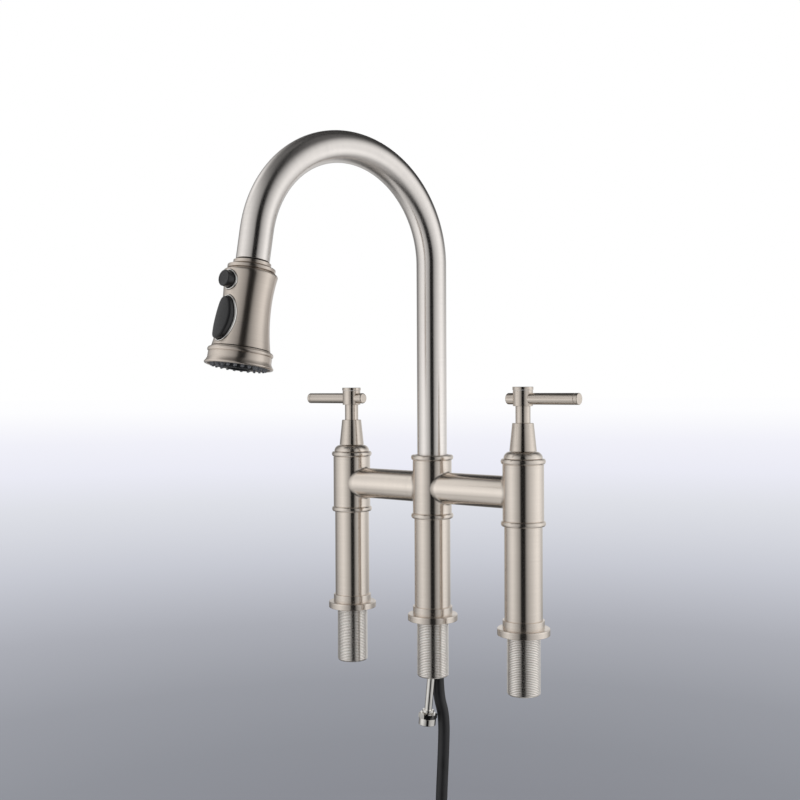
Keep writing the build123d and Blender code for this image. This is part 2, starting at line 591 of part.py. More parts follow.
for name, side in SIDES:
    x = side * SPREAD
    lever_axis = Axis((x, 0, LEVER_Z), (side, 0, 0))
    lever_plane = Plane(origin=(x, 0, LEVER_Z), x_dir=(0, 1, 0), z_dir=(side, 0, 0))
    back = Plane(origin=(x, 0, GRUB_Z), x_dir=(1, 0, 0), z_dir=(0, 1, 0))

    with BuildPart() as turning_disc:
        with BuildSketch(Plane.XY.offset(TURNING_LOW)):
            with Locations((x, 0)):
                Circle(DISC_R)
                with PolarLocations(DISC_PORT_AT, 2, start_angle=90):
                    Circle(DISC_PORT_R, mode=Mode.SUBTRACT)
        extrude(amount=DISC_T)
    turning_disc.part.label = f"{name}_turning_disc"
    export_step(turning_disc.part, f"parts/{name}_turning_disc.step")

    with BuildPart() as spindle:
        with Locations((x, 0, DRIVER_LOW)):
            Cylinder(DRIVER_R, DRIVER_T, align=BASE)
            Cylinder(SPINDLE_R, SPLINE_LOW - DRIVER_LOW, align=BASE)
        with BuildSketch(Plane.XY.offset(SPLINE_LOW)):
            with Locations((x, 0)):
                Circle(SPLINE_R - SPLINE_TOOTH / 2)
                with PolarLocations(SPLINE_R - SPLINE_TOOTH / 2, SPLINE_TEETH):
                    Rectangle(SPLINE_TOOTH, SPLINE_TOOTH)
        extrude(amount=SPLINE_TOP - SPLINE_LOW)
    spindle.part.label = f"{name}_spindle"
    export_step(spindle.part, f"parts/{name}_spindle.step")

    with BuildPart() as handle_cone:
        with BuildSketch(upright(x)):
            with BuildLine():
                Polyline(
                    (SPINDLE_HOLE_R, CONE_BOTTOM),
                    (CONE_R_BOTTOM, CONE_BOTTOM),
                    (CONE_R_TOP, CONE_TOP),
                    (STUD_R + SEAT, CONE_TOP),
                    (STUD_R + SEAT, CONE_TOP - STUD_LENGTH - CLEAR),
                    (SPLINE_R + RUNNING, CONE_TOP - STUD_LENGTH - CLEAR),
                    (SPLINE_R + RUNNING, CONE_BOTTOM + CONE_RELIEF),
                    (SPINDLE_HOLE_R, CONE_BOTTOM + CONE_RELIEF),
                    close=True,
                )
            make_face()
        revolve(axis=column_axis(x))
        with BuildSketch(back):
            Circle(GRUB_R + SEAT)
        extrude(amount=CONE_R_BOTTOM, mode=Mode.SUBTRACT)
    handle_cone.part.label = f"{name}_handle_cone"
    export_step(handle_cone.part, f"parts/{name}_handle_cone.step")

    with BuildPart() as handle_post:
        with BuildSketch(upright(x)):
            with BuildLine():
                Polyline(
                    (0, CONE_TOP - STUD_LENGTH),
                    (STUD_R, CONE_TOP - STUD_LENGTH),
                    (STUD_R, CONE_TOP),
                    (STEM_R, CONE_TOP),
                    (STEM_R, HUB_BOTTOM),
                    (HUB_R - HUB_EDGE, HUB_BOTTOM),
                    (HUB_R, HUB_BOTTOM + HUB_EDGE),
                    (HUB_R, HUB_TOP - HUB_CAP_T),
                    (HUB_CAP_STUD_R + SEAT, HUB_TOP - HUB_CAP_T),
                    (HUB_CAP_STUD_R + SEAT, LEVER_Z),
                    (0, LEVER_Z),
                    close=True,
                )
            make_face()
        revolve(axis=column_axis(x))
        with BuildSketch(lever_plane):
            Circle(LEVER_R + SEAT)
        extrude(amount=2 * HUB_R, both=True, mode=Mode.SUBTRACT)
    handle_post.part.label = f"{name}_handle_post"
    export_step(handle_post.part, f"parts/{name}_handle_post.step")

    with BuildPart() as lever:
        with BuildSketch(lever_plane.offset(-LEVER_STUB)):
            Circle(LEVER_R)
        extrude(amount=LEVER_STUB + LEVER_LONG - LEVER_CAP_T)
        fillet(lever.edges().filter_by(GeomType.CIRCLE).sort_by(lever_axis)[0], LEVER_ROUND)
        with BuildSketch(lever_plane.offset(LEVER_LONG - LEVER_CAP_T)):
            Circle(LEVER_PLUG_R + SEAT)
        extrude(amount=-LEVER_PLUG - CLEAR, mode=Mode.SUBTRACT)
    lever.part.label = f"{name}_lever"
    export_step(lever.part, f"parts/{name}_lever.step")

    # end cap of the lever with its plug, and the screwed cap that clamps it in the hub
    with BuildPart() as handle_caps:
        with BuildSketch(lever_plane.offset(LEVER_LONG - LEVER_CAP_T)):
            Circle(LEVER_R)
        extrude(amount=LEVER_CAP_T)
        fillet(handle_caps.edges().filter_by(GeomType.CIRCLE).sort_by(lever_axis)[-1], LEVER_ROUND)
        with BuildSketch(lever_plane.offset(LEVER_LONG - LEVER_CAP_T)):
            Circle(LEVER_PLUG_R)
        extrude(amount=-LEVER_PLUG)
        with BuildSketch(upright(x)):
            with BuildLine():
                Polyline(
                    (0, LEVER_Z + LEVER_R + SEAT),
                    (HUB_CAP_STUD_R, LEVER_Z + LEVER_R + SEAT),
                    (HUB_CAP_STUD_R, HUB_TOP - HUB_CAP_T),
                    (HUB_CAP_R - HUB_EDGE, HUB_TOP - HUB_CAP_T),
                    (HUB_CAP_R, HUB_TOP - HUB_CAP_T + HUB_EDGE),
                    (HUB_CAP_R, HUB_TOP - HUB_EDGE),
                    (HUB_CAP_R - HUB_EDGE, HUB_TOP),
                    (0, HUB_TOP),
                    close=True,
                )
            make_face()
        revolve(axis=column_axis(x))
    handle_caps.part.label = f"{name}_handle_caps"
    export_step(handle_caps.part, f"parts/{name}_handle_caps.step")

# ---- gooseneck spout and its swivel in the hub ----------------------------------------------

with BuildPart() as spout_tube:
    with BuildLine() as spout_path:
        Line(UP * JOURNAL_TOP, ARC_START)
        ThreePointArc(ARC_START, ARC_MIDDLE, ARC_END)
        Line(ARC_END, SPOUT_LIP)
    with BuildSketch(Plane.XY.offset(JOURNAL_TOP)):
        Circle(SPOUT_R)
        Circle(SPOUT_R - SPOUT_WALL, mode=Mode.SUBTRACT)
    sweep(path=spout_path.line)
spout_tube.part.label = "spout_tube"
export_step(spout_tube.part, "parts/spout_tube.step")

with BuildPart() as spout_journal:
    with BuildSketch(upright(0)):
        with BuildLine():
            Polyline(
                (JOURNAL_BORE_R, JOURNAL_LOW),
                (SOCKET_R - RUNNING, JOURNAL_LOW),
                (SOCKET_R - RUNNING, JOURNAL_MID - JOURNAL_GROOVE_T / 2),
                (JOURNAL_GROOVE_R, JOURNAL_MID - JOURNAL_GROOVE_T / 2),
                (JOURNAL_GROOVE_R, JOURNAL_MID + JOURNAL_GROOVE_T / 2),
                (SOCKET_R - RUNNING, JOURNAL_MID + JOURNAL_GROOVE_T / 2),
                (SOCKET_R - RUNNING, JOURNAL_TOP),
                (SPOUT_R - SPOUT_WALL - SEAT, JOURNAL_TOP),
                (SPOUT_R - SPOUT_WALL - SEAT, JOURNAL_TOP + JOURNAL_SPIGOT),
                (JOURNAL_BORE_R, JOURNAL_TOP + JOURNAL_SPIGOT),
                close=True,
            )
        make_face()
    revolve(axis=Axis.Z)
spout_journal.part.label = "spout_journal"
export_step(spout_journal.part, "parts/spout_journal.step")

# thrust washer under the journal and the bush around the spout above it
with BuildPart() as spout_bushes:
    with BuildSketch(Plane.XY.offset(SOCKET_FLOOR)):
        Circle(SOCKET_R - SEAT)
        Circle(WASHER_R_IN, mode=Mode.SUBTRACT)
    extrude(amount=WASHER_T - RUNNING)
    with BuildSketch(Plane.XY.offset(JOURNAL_TOP + RUNNING)):
        Circle(SOCKET_R - SEAT)
        Circle(BUSH_R_IN, mode=Mode.SUBTRACT)
    extrude(amount=BODY_TOP - JOURNAL_TOP - RUNNING)
spout_bushes.part.label = "spout_bushes"
export_step(spout_bushes.part, "parts/spout_bushes.step")

with BuildPart() as docking_sleeve:
    with BuildSketch(HEAD_ROUND.offset(-DOCK_LENGTH - SEAM / 2)):
        Circle(SPOUT_R - SPOUT_WALL - SEAT)
        Circle(DOCK_R, mode=Mode.SUBTRACT)
    extrude(amount=DOCK_LENGTH)
docking_sleeve.part.label = "docking_sleeve"
export_step(docking_sleeve.part, "parts/docking_sleeve.step")

# ---- pull-down spray head -------------------------------------------------------------------


def barrel(grow):
    """Half outline of the head's barrel, grown outwards from its waisted surface."""
    top = NECK_END - grow
    end = SHELL_END
    with BuildSketch(HEAD_SIDE) as half:
        with BuildLine():
            Line((0, top), (SHELL_SHOULDER_R, top))
            ThreePointArc(
                (SHELL_SHOULDER_R, top),
                (
                    SHELL_SHOULDER_R + 0.72 * (SHELL_R_TOP + grow - SHELL_SHOULDER_R),
                    top + 0.32 * (SHELL_SHOULDER - top),
                ),
                (SHELL_R_TOP + grow, SHELL_SHOULDER),
            )
            TangentArc(
                (SHELL_R_WAIST + grow, WAIST_AT),
                (SHELL_R_TOP + grow, SHELL_SHOULDER),
                tangent=(0, -1),
            )
            TangentArc(
                (SHELL_R_WAIST + grow, WAIST_AT), (SHELL_R_END + grow, end), tangent=(0, 1)
            )
            Polyline((SHELL_R_END + grow, end), (0, end), (0, top))
        make_face()
    return half.sketch


def pad_oval(grow):
    """Outline of the pad, grown outwards: two wide arcs and two tight ones that run into them."""
    end_at = PAD_LONG / 2 - PAD_END_R
    half = PAD_WIDE / 2
    side_r = (end_at**2 + half**2 - PAD_END_R**2) / (2 * (half - PAD_END_R))
    centre = half - side_r
    lean = math.atan2(end_at, -centre)
    x = end_at + (PAD_END_R + grow) * math.sin(lean)
    y = (PAD_END_R + grow) * math.cos(lean)
    with BuildSketch(mode=Mode.PRIVATE) as outline:
        with BuildLine():
            ThreePointArc((-x, y), (0, half + grow), (x, y))
            ThreePointArc((x, y), (PAD_LONG / 2 + grow, 0), (x, -y))
            ThreePointArc((x, -y), (0, -half - grow), (-x, -y))
            ThreePointArc((-x, -y), (-PAD_LONG / 2 - grow, 0), (-x, y))
        make_face()
    return outline.sketch


with BuildPart() as spray_neck:
    with BuildSketch(HEAD_SIDE):
        with BuildLine():
            Polyline(
                (CORE_SPIGOT_R + SEAT, SEAM / 2),
                (NECK_RING_R - SEAM, SEAM / 2),
                (NECK_RING_R, SEAM),
                (NECK_RING_R, NECK_RING_END),
                (NECK_RING_R - SEAM, NECK_RING_END + SEAM / 2),
                (NECK_BEAD_R - SEAM, NECK_RING_END + SEAM / 2),
                (NECK_BEAD_R, NECK_RING_END + 1.5 * SEAM),
                (NECK_BEAD_R, NECK_END - 1.5 * SEAM),
                (NECK_BEAD_R - SEAM, NECK_END - SEAM / 2),
                (NECK_BEAD_R - 1.5 * SEAM, NECK_END - SEAM / 2),
                (NECK_BEAD_R - 1.5 * SEAM, NECK_END),
                (CORE_SPIGOT_R + SEAT, NECK_END),
                close=True,
            )
        make_face()
    revolve(axis=HEAD_AXIS)
spray_neck.part.label = "spray_neck"
export_step(spray_neck.part, "parts/spray_neck.step")

BEZEL_LOW = SHELL_R_WAIST - BEZEL_DEPTH

with BuildPart() as spray_shell:
    revolve(barrel(0), axis=HEAD_AXIS)
    revolve(barrel(-SHELL_WALL), axis=HEAD_AXIS, mode=Mode.SUBTRACT)
    with BuildSketch(HEAD_ROUND.offset(NECK_END)):
        Circle(CORE_SPIGOT_R + SEAT)
    extrude(amount=SHELL_WALL, mode=Mode.SUBTRACT)
    with BuildSketch(control(BUTTON_AT, BEZEL_LOW)):
        Circle(BUTTON_R + BUTTON_GAP + BEZEL_W + SEAT)
    extrude(amount=SHELL_R_END, mode=Mode.SUBTRACT)
    with BuildSketch(control(PAD_AT, BEZEL_LOW)):
        add(pad_oval(PAD_GAP + BEZEL_W + SEAT))
    extrude(amount=SHELL_R_END, mode=Mode.SUBTRACT)
spray_shell.part.label = "spray_shell"
export_step(spray_shell.part, "parts/spray_shell.step")

with BuildPart() as control_bezels:
    with BuildSketch(control(BUTTON_AT, BEZEL_LOW)):
        Circle(BUTTON_R + BUTTON_GAP + BEZEL_W)
        Circle(BUTTON_R + BUTTON_GAP, mode=Mode.SUBTRACT)
    extrude(amount=SHELL_R_END)
    with BuildSketch(control(PAD_AT, BEZEL_LOW)):
        add(pad_oval(PAD_GAP + BEZEL_W))
        add(pad_oval(PAD_GAP), mode=Mode.SUBTRACT)
    extrude(amount=SHELL_R_END)
    revolve(barrel(BEZEL_PROUD), axis=HEAD_AXIS, mode=Mode.INTERSECT)
    revolve(barrel(-SHELL_WALL), axis=HEAD_AXIS, mode=Mode.SUBTRACT)
control_bezels.part.label = "control_bezels"
export_step(control_bezels.part, "parts/control_bezels.step")

with BuildPart() as spray_core:
    with BuildSketch(HEAD_SIDE):
        with BuildLine():
            Polyline(
                (NUT_BALL_R + CLEAR, -CORE_SPIGOT),
                (CORE_SPIGOT_R, -CORE_SPIGOT),
                (CORE_SPIGOT_R, NECK_END + SHELL_WALL),
                (CORE_STEP_R, NECK_END + SHELL_WALL),
                (CORE_STEP_R, CORE_STEP_END),
                (CORE_R, CORE_STEP_END),
                (CORE_R, CORE_END),
                (CORE_CHAMBER_R, CORE_END),
                (CORE_CHAMBER_R, CORE_END - CORE_CHAMBER),
                (CORE_BORE_R, CORE_END - CORE_CHAMBER - CORE_BORE_R),
                (CORE_BORE_R, NUT_BALL_END + CLEAR),
                (NUT_BALL_R + CLEAR, NUT_BALL_END + CLEAR),
                close=True,
            )
        make_face()
    revolve(axis=HEAD_AXIS)
    with BuildSketch(control(BUTTON_AT, CORE_STEP_R)):
        Circle(BUTTON_R + BUTTON_GAP)
    extrude(amount=CORE_R, mode=Mode.SUBTRACT)
    with BuildSketch(control(PAD_AT, PAD_FLOOR)):
        add(pad_oval(PAD_GAP))
    extrude(amount=CORE_R, mode=Mode.SUBTRACT)
    # lug that carries the pad's axle
    with BuildSketch(HEAD_SIDE):
        with Locations((PAD_PIVOT, PAD_AT)):
            Circle(LUG_R)
            Rectangle(PAD_PIVOT - PAD_FLOOR + LUG_R, 2 * LUG_R, align=(Align.MAX, Align.CENTER))
            Circle(PIN_R + RUNNING, mode=Mode.SUBTRACT)
    extrude(amount=LUG_W / 2, both=True)
spray_core.part.label = "spray_core"
export_step(spray_core.part, "parts/spray_core.step")

with BuildPart() as round_button:
    with BuildSketch(control(BUTTON_AT, CORE_STEP_R + SPRING_LENGTH)):
        Circle(BUTTON_R)
    extrude(amount=SHELL_R_WAIST + BUTTON_PROUD - CORE_STEP_R - SPRING_LENGTH)
    fillet(round_button.edges().sort_by(Axis(HEAD_TOP, CONTROL_OUT))[-1], BUTTON_ROUND)
round_button.part.label = "round_button"
export_step(round_button.part, "parts/round_button.step")

with BuildPart() as button_spring:
    with BuildSketch(control(BUTTON_AT, CORE_STEP_R)):
        Circle(SPRING_R)
        Circle(SPRING_R - SPRING_WALL, mode=Mode.SUBTRACT)
    extrude(amount=SPRING_LENGTH)
button_spring.part.label = "button_spring"
export_step(button_spring.part, "parts/button_spring.step")


def pad_side():
    """Half outline of the hollow surface that the pad's face lies in, prouder at its lower end."""
    reach = PAD_LONG / 2 + BEZEL_W
    high, low = PAD_AT - reach, PAD_AT + reach
    with BuildSketch(HEAD_SIDE) as half:
        with BuildLine():
            ThreePointArc((PAD_R_HIGH, high), (PAD_R_MID, PAD_AT), (PAD_R_LOW, low))
            Polyline((PAD_R_LOW, low), (0, low), (0, high), (PAD_R_HIGH, high))
        make_face()
    return half.sketch


with BuildPart() as oval_pad:
    with BuildSketch(control(PAD_AT, PAD_BOTTOM)):
        add(pad_oval(0))
    extrude(amount=SHELL_R_END)
    revolve(pad_side(), axis=HEAD_AXIS, mode=Mode.INTERSECT)
    rim = oval_pad.faces().sort_by(Axis(HEAD_TOP, CONTROL_OUT))[-1].edges()
    fillet(rim, PAD_ROUND)
    with BuildSketch(HEAD_SIDE):
        with Locations((PAD_PIVOT, PAD_AT)):
            Circle(LUG_R + LUG_GAP)
            Rectangle(LUG_R * 2, 2 * (LUG_R + LUG_GAP), align=(Align.MAX, Align.CENTER))
    extrude(amount=LUG_W / 2 + CLEAR, both=True, mode=Mode.SUBTRACT)
    with BuildSketch(HEAD_SIDE):
        with Locations((PAD_PIVOT, PAD_AT)):
            Circle(PIN_R)
    extrude(amount=LUG_W / 2 + 2 * CLEAR, both=True)
oval_pad.part.label = "oval_pad"
export_step(oval_pad.part, "parts/oval_pad.step")

with BuildPart() as spray_skirt:
    with BuildSketch(HEAD_SIDE):
        with BuildLine():
            Polyline(
                (SKIRT_NECK_R + SKIRT_LAND, SKIRT_BEAD_START),
                (SKIRT_NECK_R, SKIRT_BEAD_START),
                (SKIRT_NECK_R, SKIRT_START),
                (SHELL_R_END - SHELL_WALL - SKIRT_LIP / 4, SKIRT_START),
                (SHELL_R_END - SHELL_WALL - SKIRT_LIP / 4, SKIRT_START - SKIRT_LIP),
                (SHELL_R_END - 2 * SHELL_WALL, SKIRT_START - SKIRT_LIP),
                (SHELL_R_END - 2 * SHELL_WALL, SKIRT_START),
                (CORE_R + SEAT, SKIRT_START),
                (CORE_R + SEAT, SKIRT_START + SKIRT_WEB),
                (SKIRT_BORE_R, SKIRT_START + SKIRT_WEB),
                (SKIRT_BORE_R, FACE_AT),
                (FACE_R + SEAT, FACE_AT),
                (FACE_R + SEAT, SKIRT_END),
                (SKIRT_RIM_R - SKIRT_RIM_ROUND, SKIRT_END),
            )
            ThreePointArc(
                (SKIRT_RIM_R - SKIRT_RIM_ROUND, SKIRT_END),
                (
                    SKIRT_RIM_R - 0.27 * SKIRT_RIM_ROUND,
                    SKIRT_END - 0.27 * (SKIRT_END - SKIRT_RIM_AT),
                ),
                (SKIRT_RIM_R, SKIRT_RIM_AT),
            )
            ThreePointArc(
                (SKIRT_RIM_R, SKIRT_RIM_AT),
                (
                    SKIRT_BAND_R + 0.36 * (SKIRT_RIM_R - SKIRT_BAND_R),
                    (SKIRT_BAND_END + SKIRT_RIM_AT) / 2,
                ),
                (SKIRT_BAND_R, SKIRT_BAND_END),
            )
            Polyline(
                (SKIRT_BAND_R, SKIRT_BAND_END),
                (SKIRT_BAND_R, SKIRT_BAND_START),
                (SKIRT_BAND_R - SKIRT_LAND, SKIRT_BAND_START),
                (SKIRT_BAND_R - SKIRT_LAND, SKIRT_BEAD_END),
            )
            ThreePointArc(
                (SKIRT_BAND_R - SKIRT_LAND, SKIRT_BEAD_END),
                (SKIRT_BEAD_R, (SKIRT_BEAD_START + SKIRT_BEAD_END) / 2),
                (SKIRT_NECK_R + SKIRT_LAND, SKIRT_BEAD_START),
            )
        make_face()
    revolve(axis=HEAD_AXIS)
spray_skirt.part.label = "spray_skirt"
export_step(spray_skirt.part, "parts/spray_skirt.step")

with BuildPart() as face_plate:
    with BuildSketch(HEAD_ROUND.offset(FACE_AT)):
        Circle(FACE_R)
        for ring, count in NUB_RINGS:
            with PolarLocations(ring, count):
                Circle(NUB_R + SEAT, mode=Mode.SUBTRACT)
    extrude(amount=FACE_T)
    with BuildSketch(HEAD_ROUND.offset(FACE_AT + FACE_T)):
        Circle(INSERT_R)
    extrude(amount=INSERT_PROUD)
    with BuildSketch(HEAD_ROUND.offset(FACE_AT + FACE_T + INSERT_PROUD)):
        Circle(INSERT_R - INSERT_RIM)
    extrude(amount=-INSERT_DEPTH, mode=Mode.SUBTRACT)
    with BuildSketch(HEAD_ROUND.offset(FACE_AT)):
        with PolarLocations((INSERT_R - INSERT_RIM) * 0.62, INSERT_HOLES):
            Circle(INSERT_HOLE_R)
    extrude(amount=FACE_T, mode=Mode.SUBTRACT)
face_plate.part.label = "face_plate"
export_step(face_plate.part, "parts/face_plate.step")

# rubber membrane behind the face, with its nozzles standing through it
with BuildPart() as spray_nozzles:
    with BuildSketch(HEAD_ROUND.offset(CORE_END)):
        Circle(SKIRT_BORE_R - SEAT)
        Circle(INSERT_R, mode=Mode.SUBTRACT)
    extrude(amount=FACE_AT - CORE_END)
    with BuildSketch(HEAD_ROUND.offset(FACE_AT)):
        for ring, count in NUB_RINGS:
            with PolarLocations(ring, count):
                Circle(NUB_R)
    extrude(amount=FACE_T)
    with BuildSketch(HEAD_ROUND.offset(FACE_AT + FACE_T)):
        for ring, count in NUB_RINGS:
            with PolarLocations(ring, count):
                Circle(NUB_R)
    extrude(amount=NUB_PROUD, taper=math.degrees(math.atan((NUB_R - NUB_TIP_R) / NUB_PROUD)))
spray_nozzles.part.label = "spray_nozzles"
export_step(spray_nozzles.part, "parts/spray_nozzles.step")

# ---- hose, from its lower end up to the spray head ------------------------------------------


def bend_radii(points):
    """Radius at each inner point: as large as the two runs beside it allow."""
    radii = []
    for a, b, c in zip(points, points[1:], points[2:]):
        turn = math.radians((b - a).get_angle(c - b))
        radii.append(0.45 * min((b - a).length, (c - b).length) / math.tan(turn / 2))
    return radii


def report_tube(name, solid, length):
    """Print a tube's volume beside its section times its length."""
    wanted = math.pi * HOSE_R**2 * length
    print(f"{name}: length {length:.1f}, volume {solid.volume:.0f}, wanted {wanted:.0f}")


inside = [UP * HOSE_MEET] + [hung(*point) for point in HOSE_INSIDE]
inside.append(hung(HOSE_INSIDE[-1][0], HOSE_INSIDE[-1][1], -SHANK_LENGTH))
with BuildPart() as hose_lower:
    with BuildLine() as route:
        FilletPolyline(*inside, radius=bend_radii(inside))
    with BuildSketch(Plane(origin=inside[0], z_dir=inside[1] - inside[0])):
        Circle(HOSE_R)
    sweep(path=route.line)
print("hose_lower radii", [round(r) for r in bend_radii(inside)])
report_tube("hose_lower", hose_lower.part, route.wire().length)
hose_lower.part.label = "hose_lower"
export_step(hose_lower.part, "parts/hose_lower.step")

HOSE_FRONT = HOSE_INSIDE[-1][1]
outside = [inside[-1]] + [hung(across, HOSE_FRONT, z) for across, z in HOSE_OUTSIDE]
with BuildPart() as hose_free:
    with BuildLine() as route:
        FilletPolyline(*outside, radius=bend_radii(outside))
    with BuildSketch(Plane(origin=outside[0], z_dir=outside[1] - outside[0])):
        Circle(HOSE_R)
    sweep(path=route.line)
print("hose_free radii", [round(r) for r in bend_radii(outside)])
report_tube("hose_free", hose_free.part, route.wire().length)
hose_free.part.label = "hose_free"
export_step(hose_free.part, "parts/hose_free.step")

# The rest of the hose hangs in a tied coil, wound clockwise as seen from the front.
COIL_LEAD = 2 * HOSE_R
coil_top = outside[-1]
coil_centre = coil_top - UP * COIL_LEAD - Vector(COIL_R, 0, 0)


def coil_point(quarter):
    """Point of the coil's centre line after so many quarter turns."""
    angle = -quarter * math.pi / 2
    spread = Vector(math.cos(angle), 0, math.sin(angle)) * COIL_R
    return coil_centre + spread - Vector(0, COIL_PITCH * quarter / 4, 0)


def coil_tangent(quarter):
    """Direction of the hose there; its two ends lie square to the coil's axis."""
    angle = -quarter * math.pi / 2
    around = Vector(math.sin(angle), 0, -math.cos(angle)) * (COIL_R * math.pi / 2)
    climb = 0 if quarter in (0, COIL_QUARTERS) else COIL_PITCH / 4
    return (around - Vector(0, climb, 0)).normalized()


def biarc(start, start_way, end, end_way):
    """Middle point and direction of two arcs that join two points and directions."""
    span, both = end - start, start_way + end_way
    a = both.dot(both) - 4
    b = span.dot(both)
    reach = (b - math.sqrt(b * b - a * span.dot(span))) / a
    first, second = start + start_way * reach, end - end_way * reach
    return (first + second) * 0.5, (second - first).normalized()


coil_end = coil_point(COIL_QUARTERS)
with BuildPart() as hose_coil:
    with BuildLine() as route:
        Line(coil_top, coil_point(0))
        for quarter in range(COIL_QUARTERS):
            here, there = coil_point(quarter), coil_point(quarter + 1)
            here_way, there_way = coil_tangent(quarter), coil_tangent(quarter + 1)
            middle, middle_way = biarc(here, here_way, there, there_way)
            TangentArc(here, middle, tangent=here_way)
            TangentArc(middle, there, tangent=middle_way)
        Line(coil_end, coil_end + coil_tangent(COIL_QUARTERS) * COIL_LEAD)
    with BuildSketch(Plane(origin=coil_top, z_dir=-UP)):
        Circle(HOSE_R)
    sweep(path=route.line)
report_tube("hose_coil", hose_coil.part, route.wire().length)
count = 400
along = [route.wire() @ (i / count) for i in range(count + 1)]
apart = math.ceil(count * math.pi * COIL_R / route.wire().length)
least = min(
    (along[i] - along[j]).length for i in range(count + 1) for j in range(i + apart, count + 1)
)
print(f"hose_coil: least gap to itself {least - 2 * HOSE_R:.2f}")
hose_coil.part.label = "hose_coil"
export_step(hose_coil.part, "parts/hose_coil.step")

end_plane = Plane(origin=coil_end + coil_tangent(COIL_QUARTERS) * COIL_LEAD, z_dir=(1, 0, 0))
with BuildPart() as hose_connector:
    with BuildSketch(end_plane):
        Circle(CONNECTOR_FERRULE_R)
    extrude(amount=CONNECTOR_FERRULE)
    with BuildSketch(end_plane.offset(CONNECTOR_FERRULE)):
        Circle(CONNECTOR_R)
    extrude(amount=CONNECTOR_LENGTH - CONNECTOR_FERRULE)
    chamfer(hose_connector.edges().sort_by(Axis.X)[-1], HUB_EDGE)
    with BuildSketch(end_plane.offset(CONNECTOR_LENGTH)):
        Circle(CORE_BORE_R)
    extrude(amount=CONNECTOR_FERRULE - CONNECTOR_LENGTH, mode=Mode.SUBTRACT)
hose_connector.part.label = "hose_connector"
export_step(hose_connector.part, "parts/hose_connector.step")

# two bands, where two strands of the coil run side by side
with BuildPart() as coil_ties:
    for first in (0, 2):
        a, b = coil_point(first), coil_point(first + 4)
        middle = (a + b) * 0.5
        band = Plane(origin=middle - UP * (TIE_H / 2), x_dir=(0, 1, 0), z_dir=(0, 0, 1))
        with BuildSketch(band):
            SlotCenterToCenter(COIL_PITCH, 2 * (HOSE_R + CLEAR + TIE_T))
            SlotCenterToCenter(COIL_PITCH, 2 * (HOSE_R + CLEAR), mode=Mode.SUBTRACT)
        extrude(amount=TIE_H)
coil_ties.part.label = "coil_ties"
export_step(coil_ties.part, "parts/coil_ties.step")

with BuildPart() as hose_upper:
    with BuildLine() as route:
        Line(UP * HOSE_MEET, ARC_START)
        ThreePointArc(ARC_START, ARC_MIDDLE, ARC_END)
        Line(ARC_END, ARC_END + DOWN_HEAD * HOSE_START)
    with BuildSketch(Plane.XY.offset(HOSE_MEET)):
        Circle(HOSE_R)
    sweep(path=route.line)
report_tube("hose_upper", hose_upper.part, route.wire().length)
hose_upper.part.label = "hose_upper"
export_step(hose_upper.part, "parts/hose_upper.step")

# last stretch of the hose, which follows the head out of the spout
pull_top = -(SPOUT_END + SEAM / 2 - HOSE_START)
with BuildPart() as hose_pull:
    with BuildSketch(HEAD_ROUND.offset(pull_top)):
        Circle(HOSE_R)
    extrude(amount=-pull_top - NUT_BALL_TOP)
hose_pull.part.label = "hose_pull"
export_step(hose_pull.part, "parts/hose_pull.step")

with BuildPart() as hose_swivel:
    with BuildSketch(HEAD_ROUND.offset(-NUT_BALL_TOP)):
        Circle(NUT_BALL_R)
    extrude(amount=NUT_BALL_TOP + NUT_BALL_END)
    with BuildSketch(HEAD_ROUND.offset(NUT_BALL_END)):
        Circle(CORE_BORE_R)
    extrude(amount=-NUT_BALL_END, mode=Mode.SUBTRACT)
hose_swivel.part.label = "hose_swivel"
export_step(hose_swivel.part, "parts/hose_swivel.step")

# ---- mixed-water outlet tube and its loose nut ------------------------------------------------

lean = math.radians(OUTLET_LEAN)
OUTLET_WAY = ACROSS * -math.sin(lean) - UP * math.cos(lean)
lowest = hung(*OUTLET_POINTS[-1])
exit_point = lowest + OUTLET_WAY * ((SHANK_LENGTH + lowest.Z) / math.cos(lean))
OUTLET_END = Plane(origin=exit_point, x_dir=FRONT, z_dir=OUTLET_WAY)
nut_top = OUTLET_COLLAR_AT + OUTLET_COLLAR_T + CLEAR

outlet_route = [hung(0, OUTLET_PORT, BODY_FLOOR)] + [hung(*point) for point in OUTLET_POINTS]
outlet_route.append(exit_point + OUTLET_WAY * (nut_top + NUT_WEB + CLEAR))
with BuildPart() as outlet_tube:
    with BuildLine() as route:
        FilletPolyline(*outlet_route, radius=OUTLET_BEND_R)
    with BuildSketch(Plane(origin=outlet_route[0], z_dir=outlet_route[1] - outlet_route[0])):
        Circle(OUTLET_R)
    sweep(path=route.line)
    with Locations(outlet_route[0]):
        Cylinder(OUTLET_SPIGOT_R, FLOOR_T, align=BASE)
    with BuildSketch(OUTLET_END.offset(OUTLET_COLLAR_AT)):
        Circle(OUTLET_COLLAR_R)
    extrude(amount=OUTLET_COLLAR_T)
    with BuildSketch(OUTLET_END.offset(nut_top + NUT_WEB + CLEAR)):
        Circle(NUT_BORE_R - CLEAR)
    extrude(amount=FERRULE_T)
    with BuildSketch(OUTLET_END.offset(nut_top + NUT_WEB + CLEAR + FERRULE_T)):
        Circle(OUTLET_R - OUTLET_WALL)
    extrude(amount=-FERRULE_T - NUT_WEB, mode=Mode.SUBTRACT)
outlet_tube.part.label = "outlet_tube"
export_step(outlet_tube.part, "parts/outlet_tube.step")

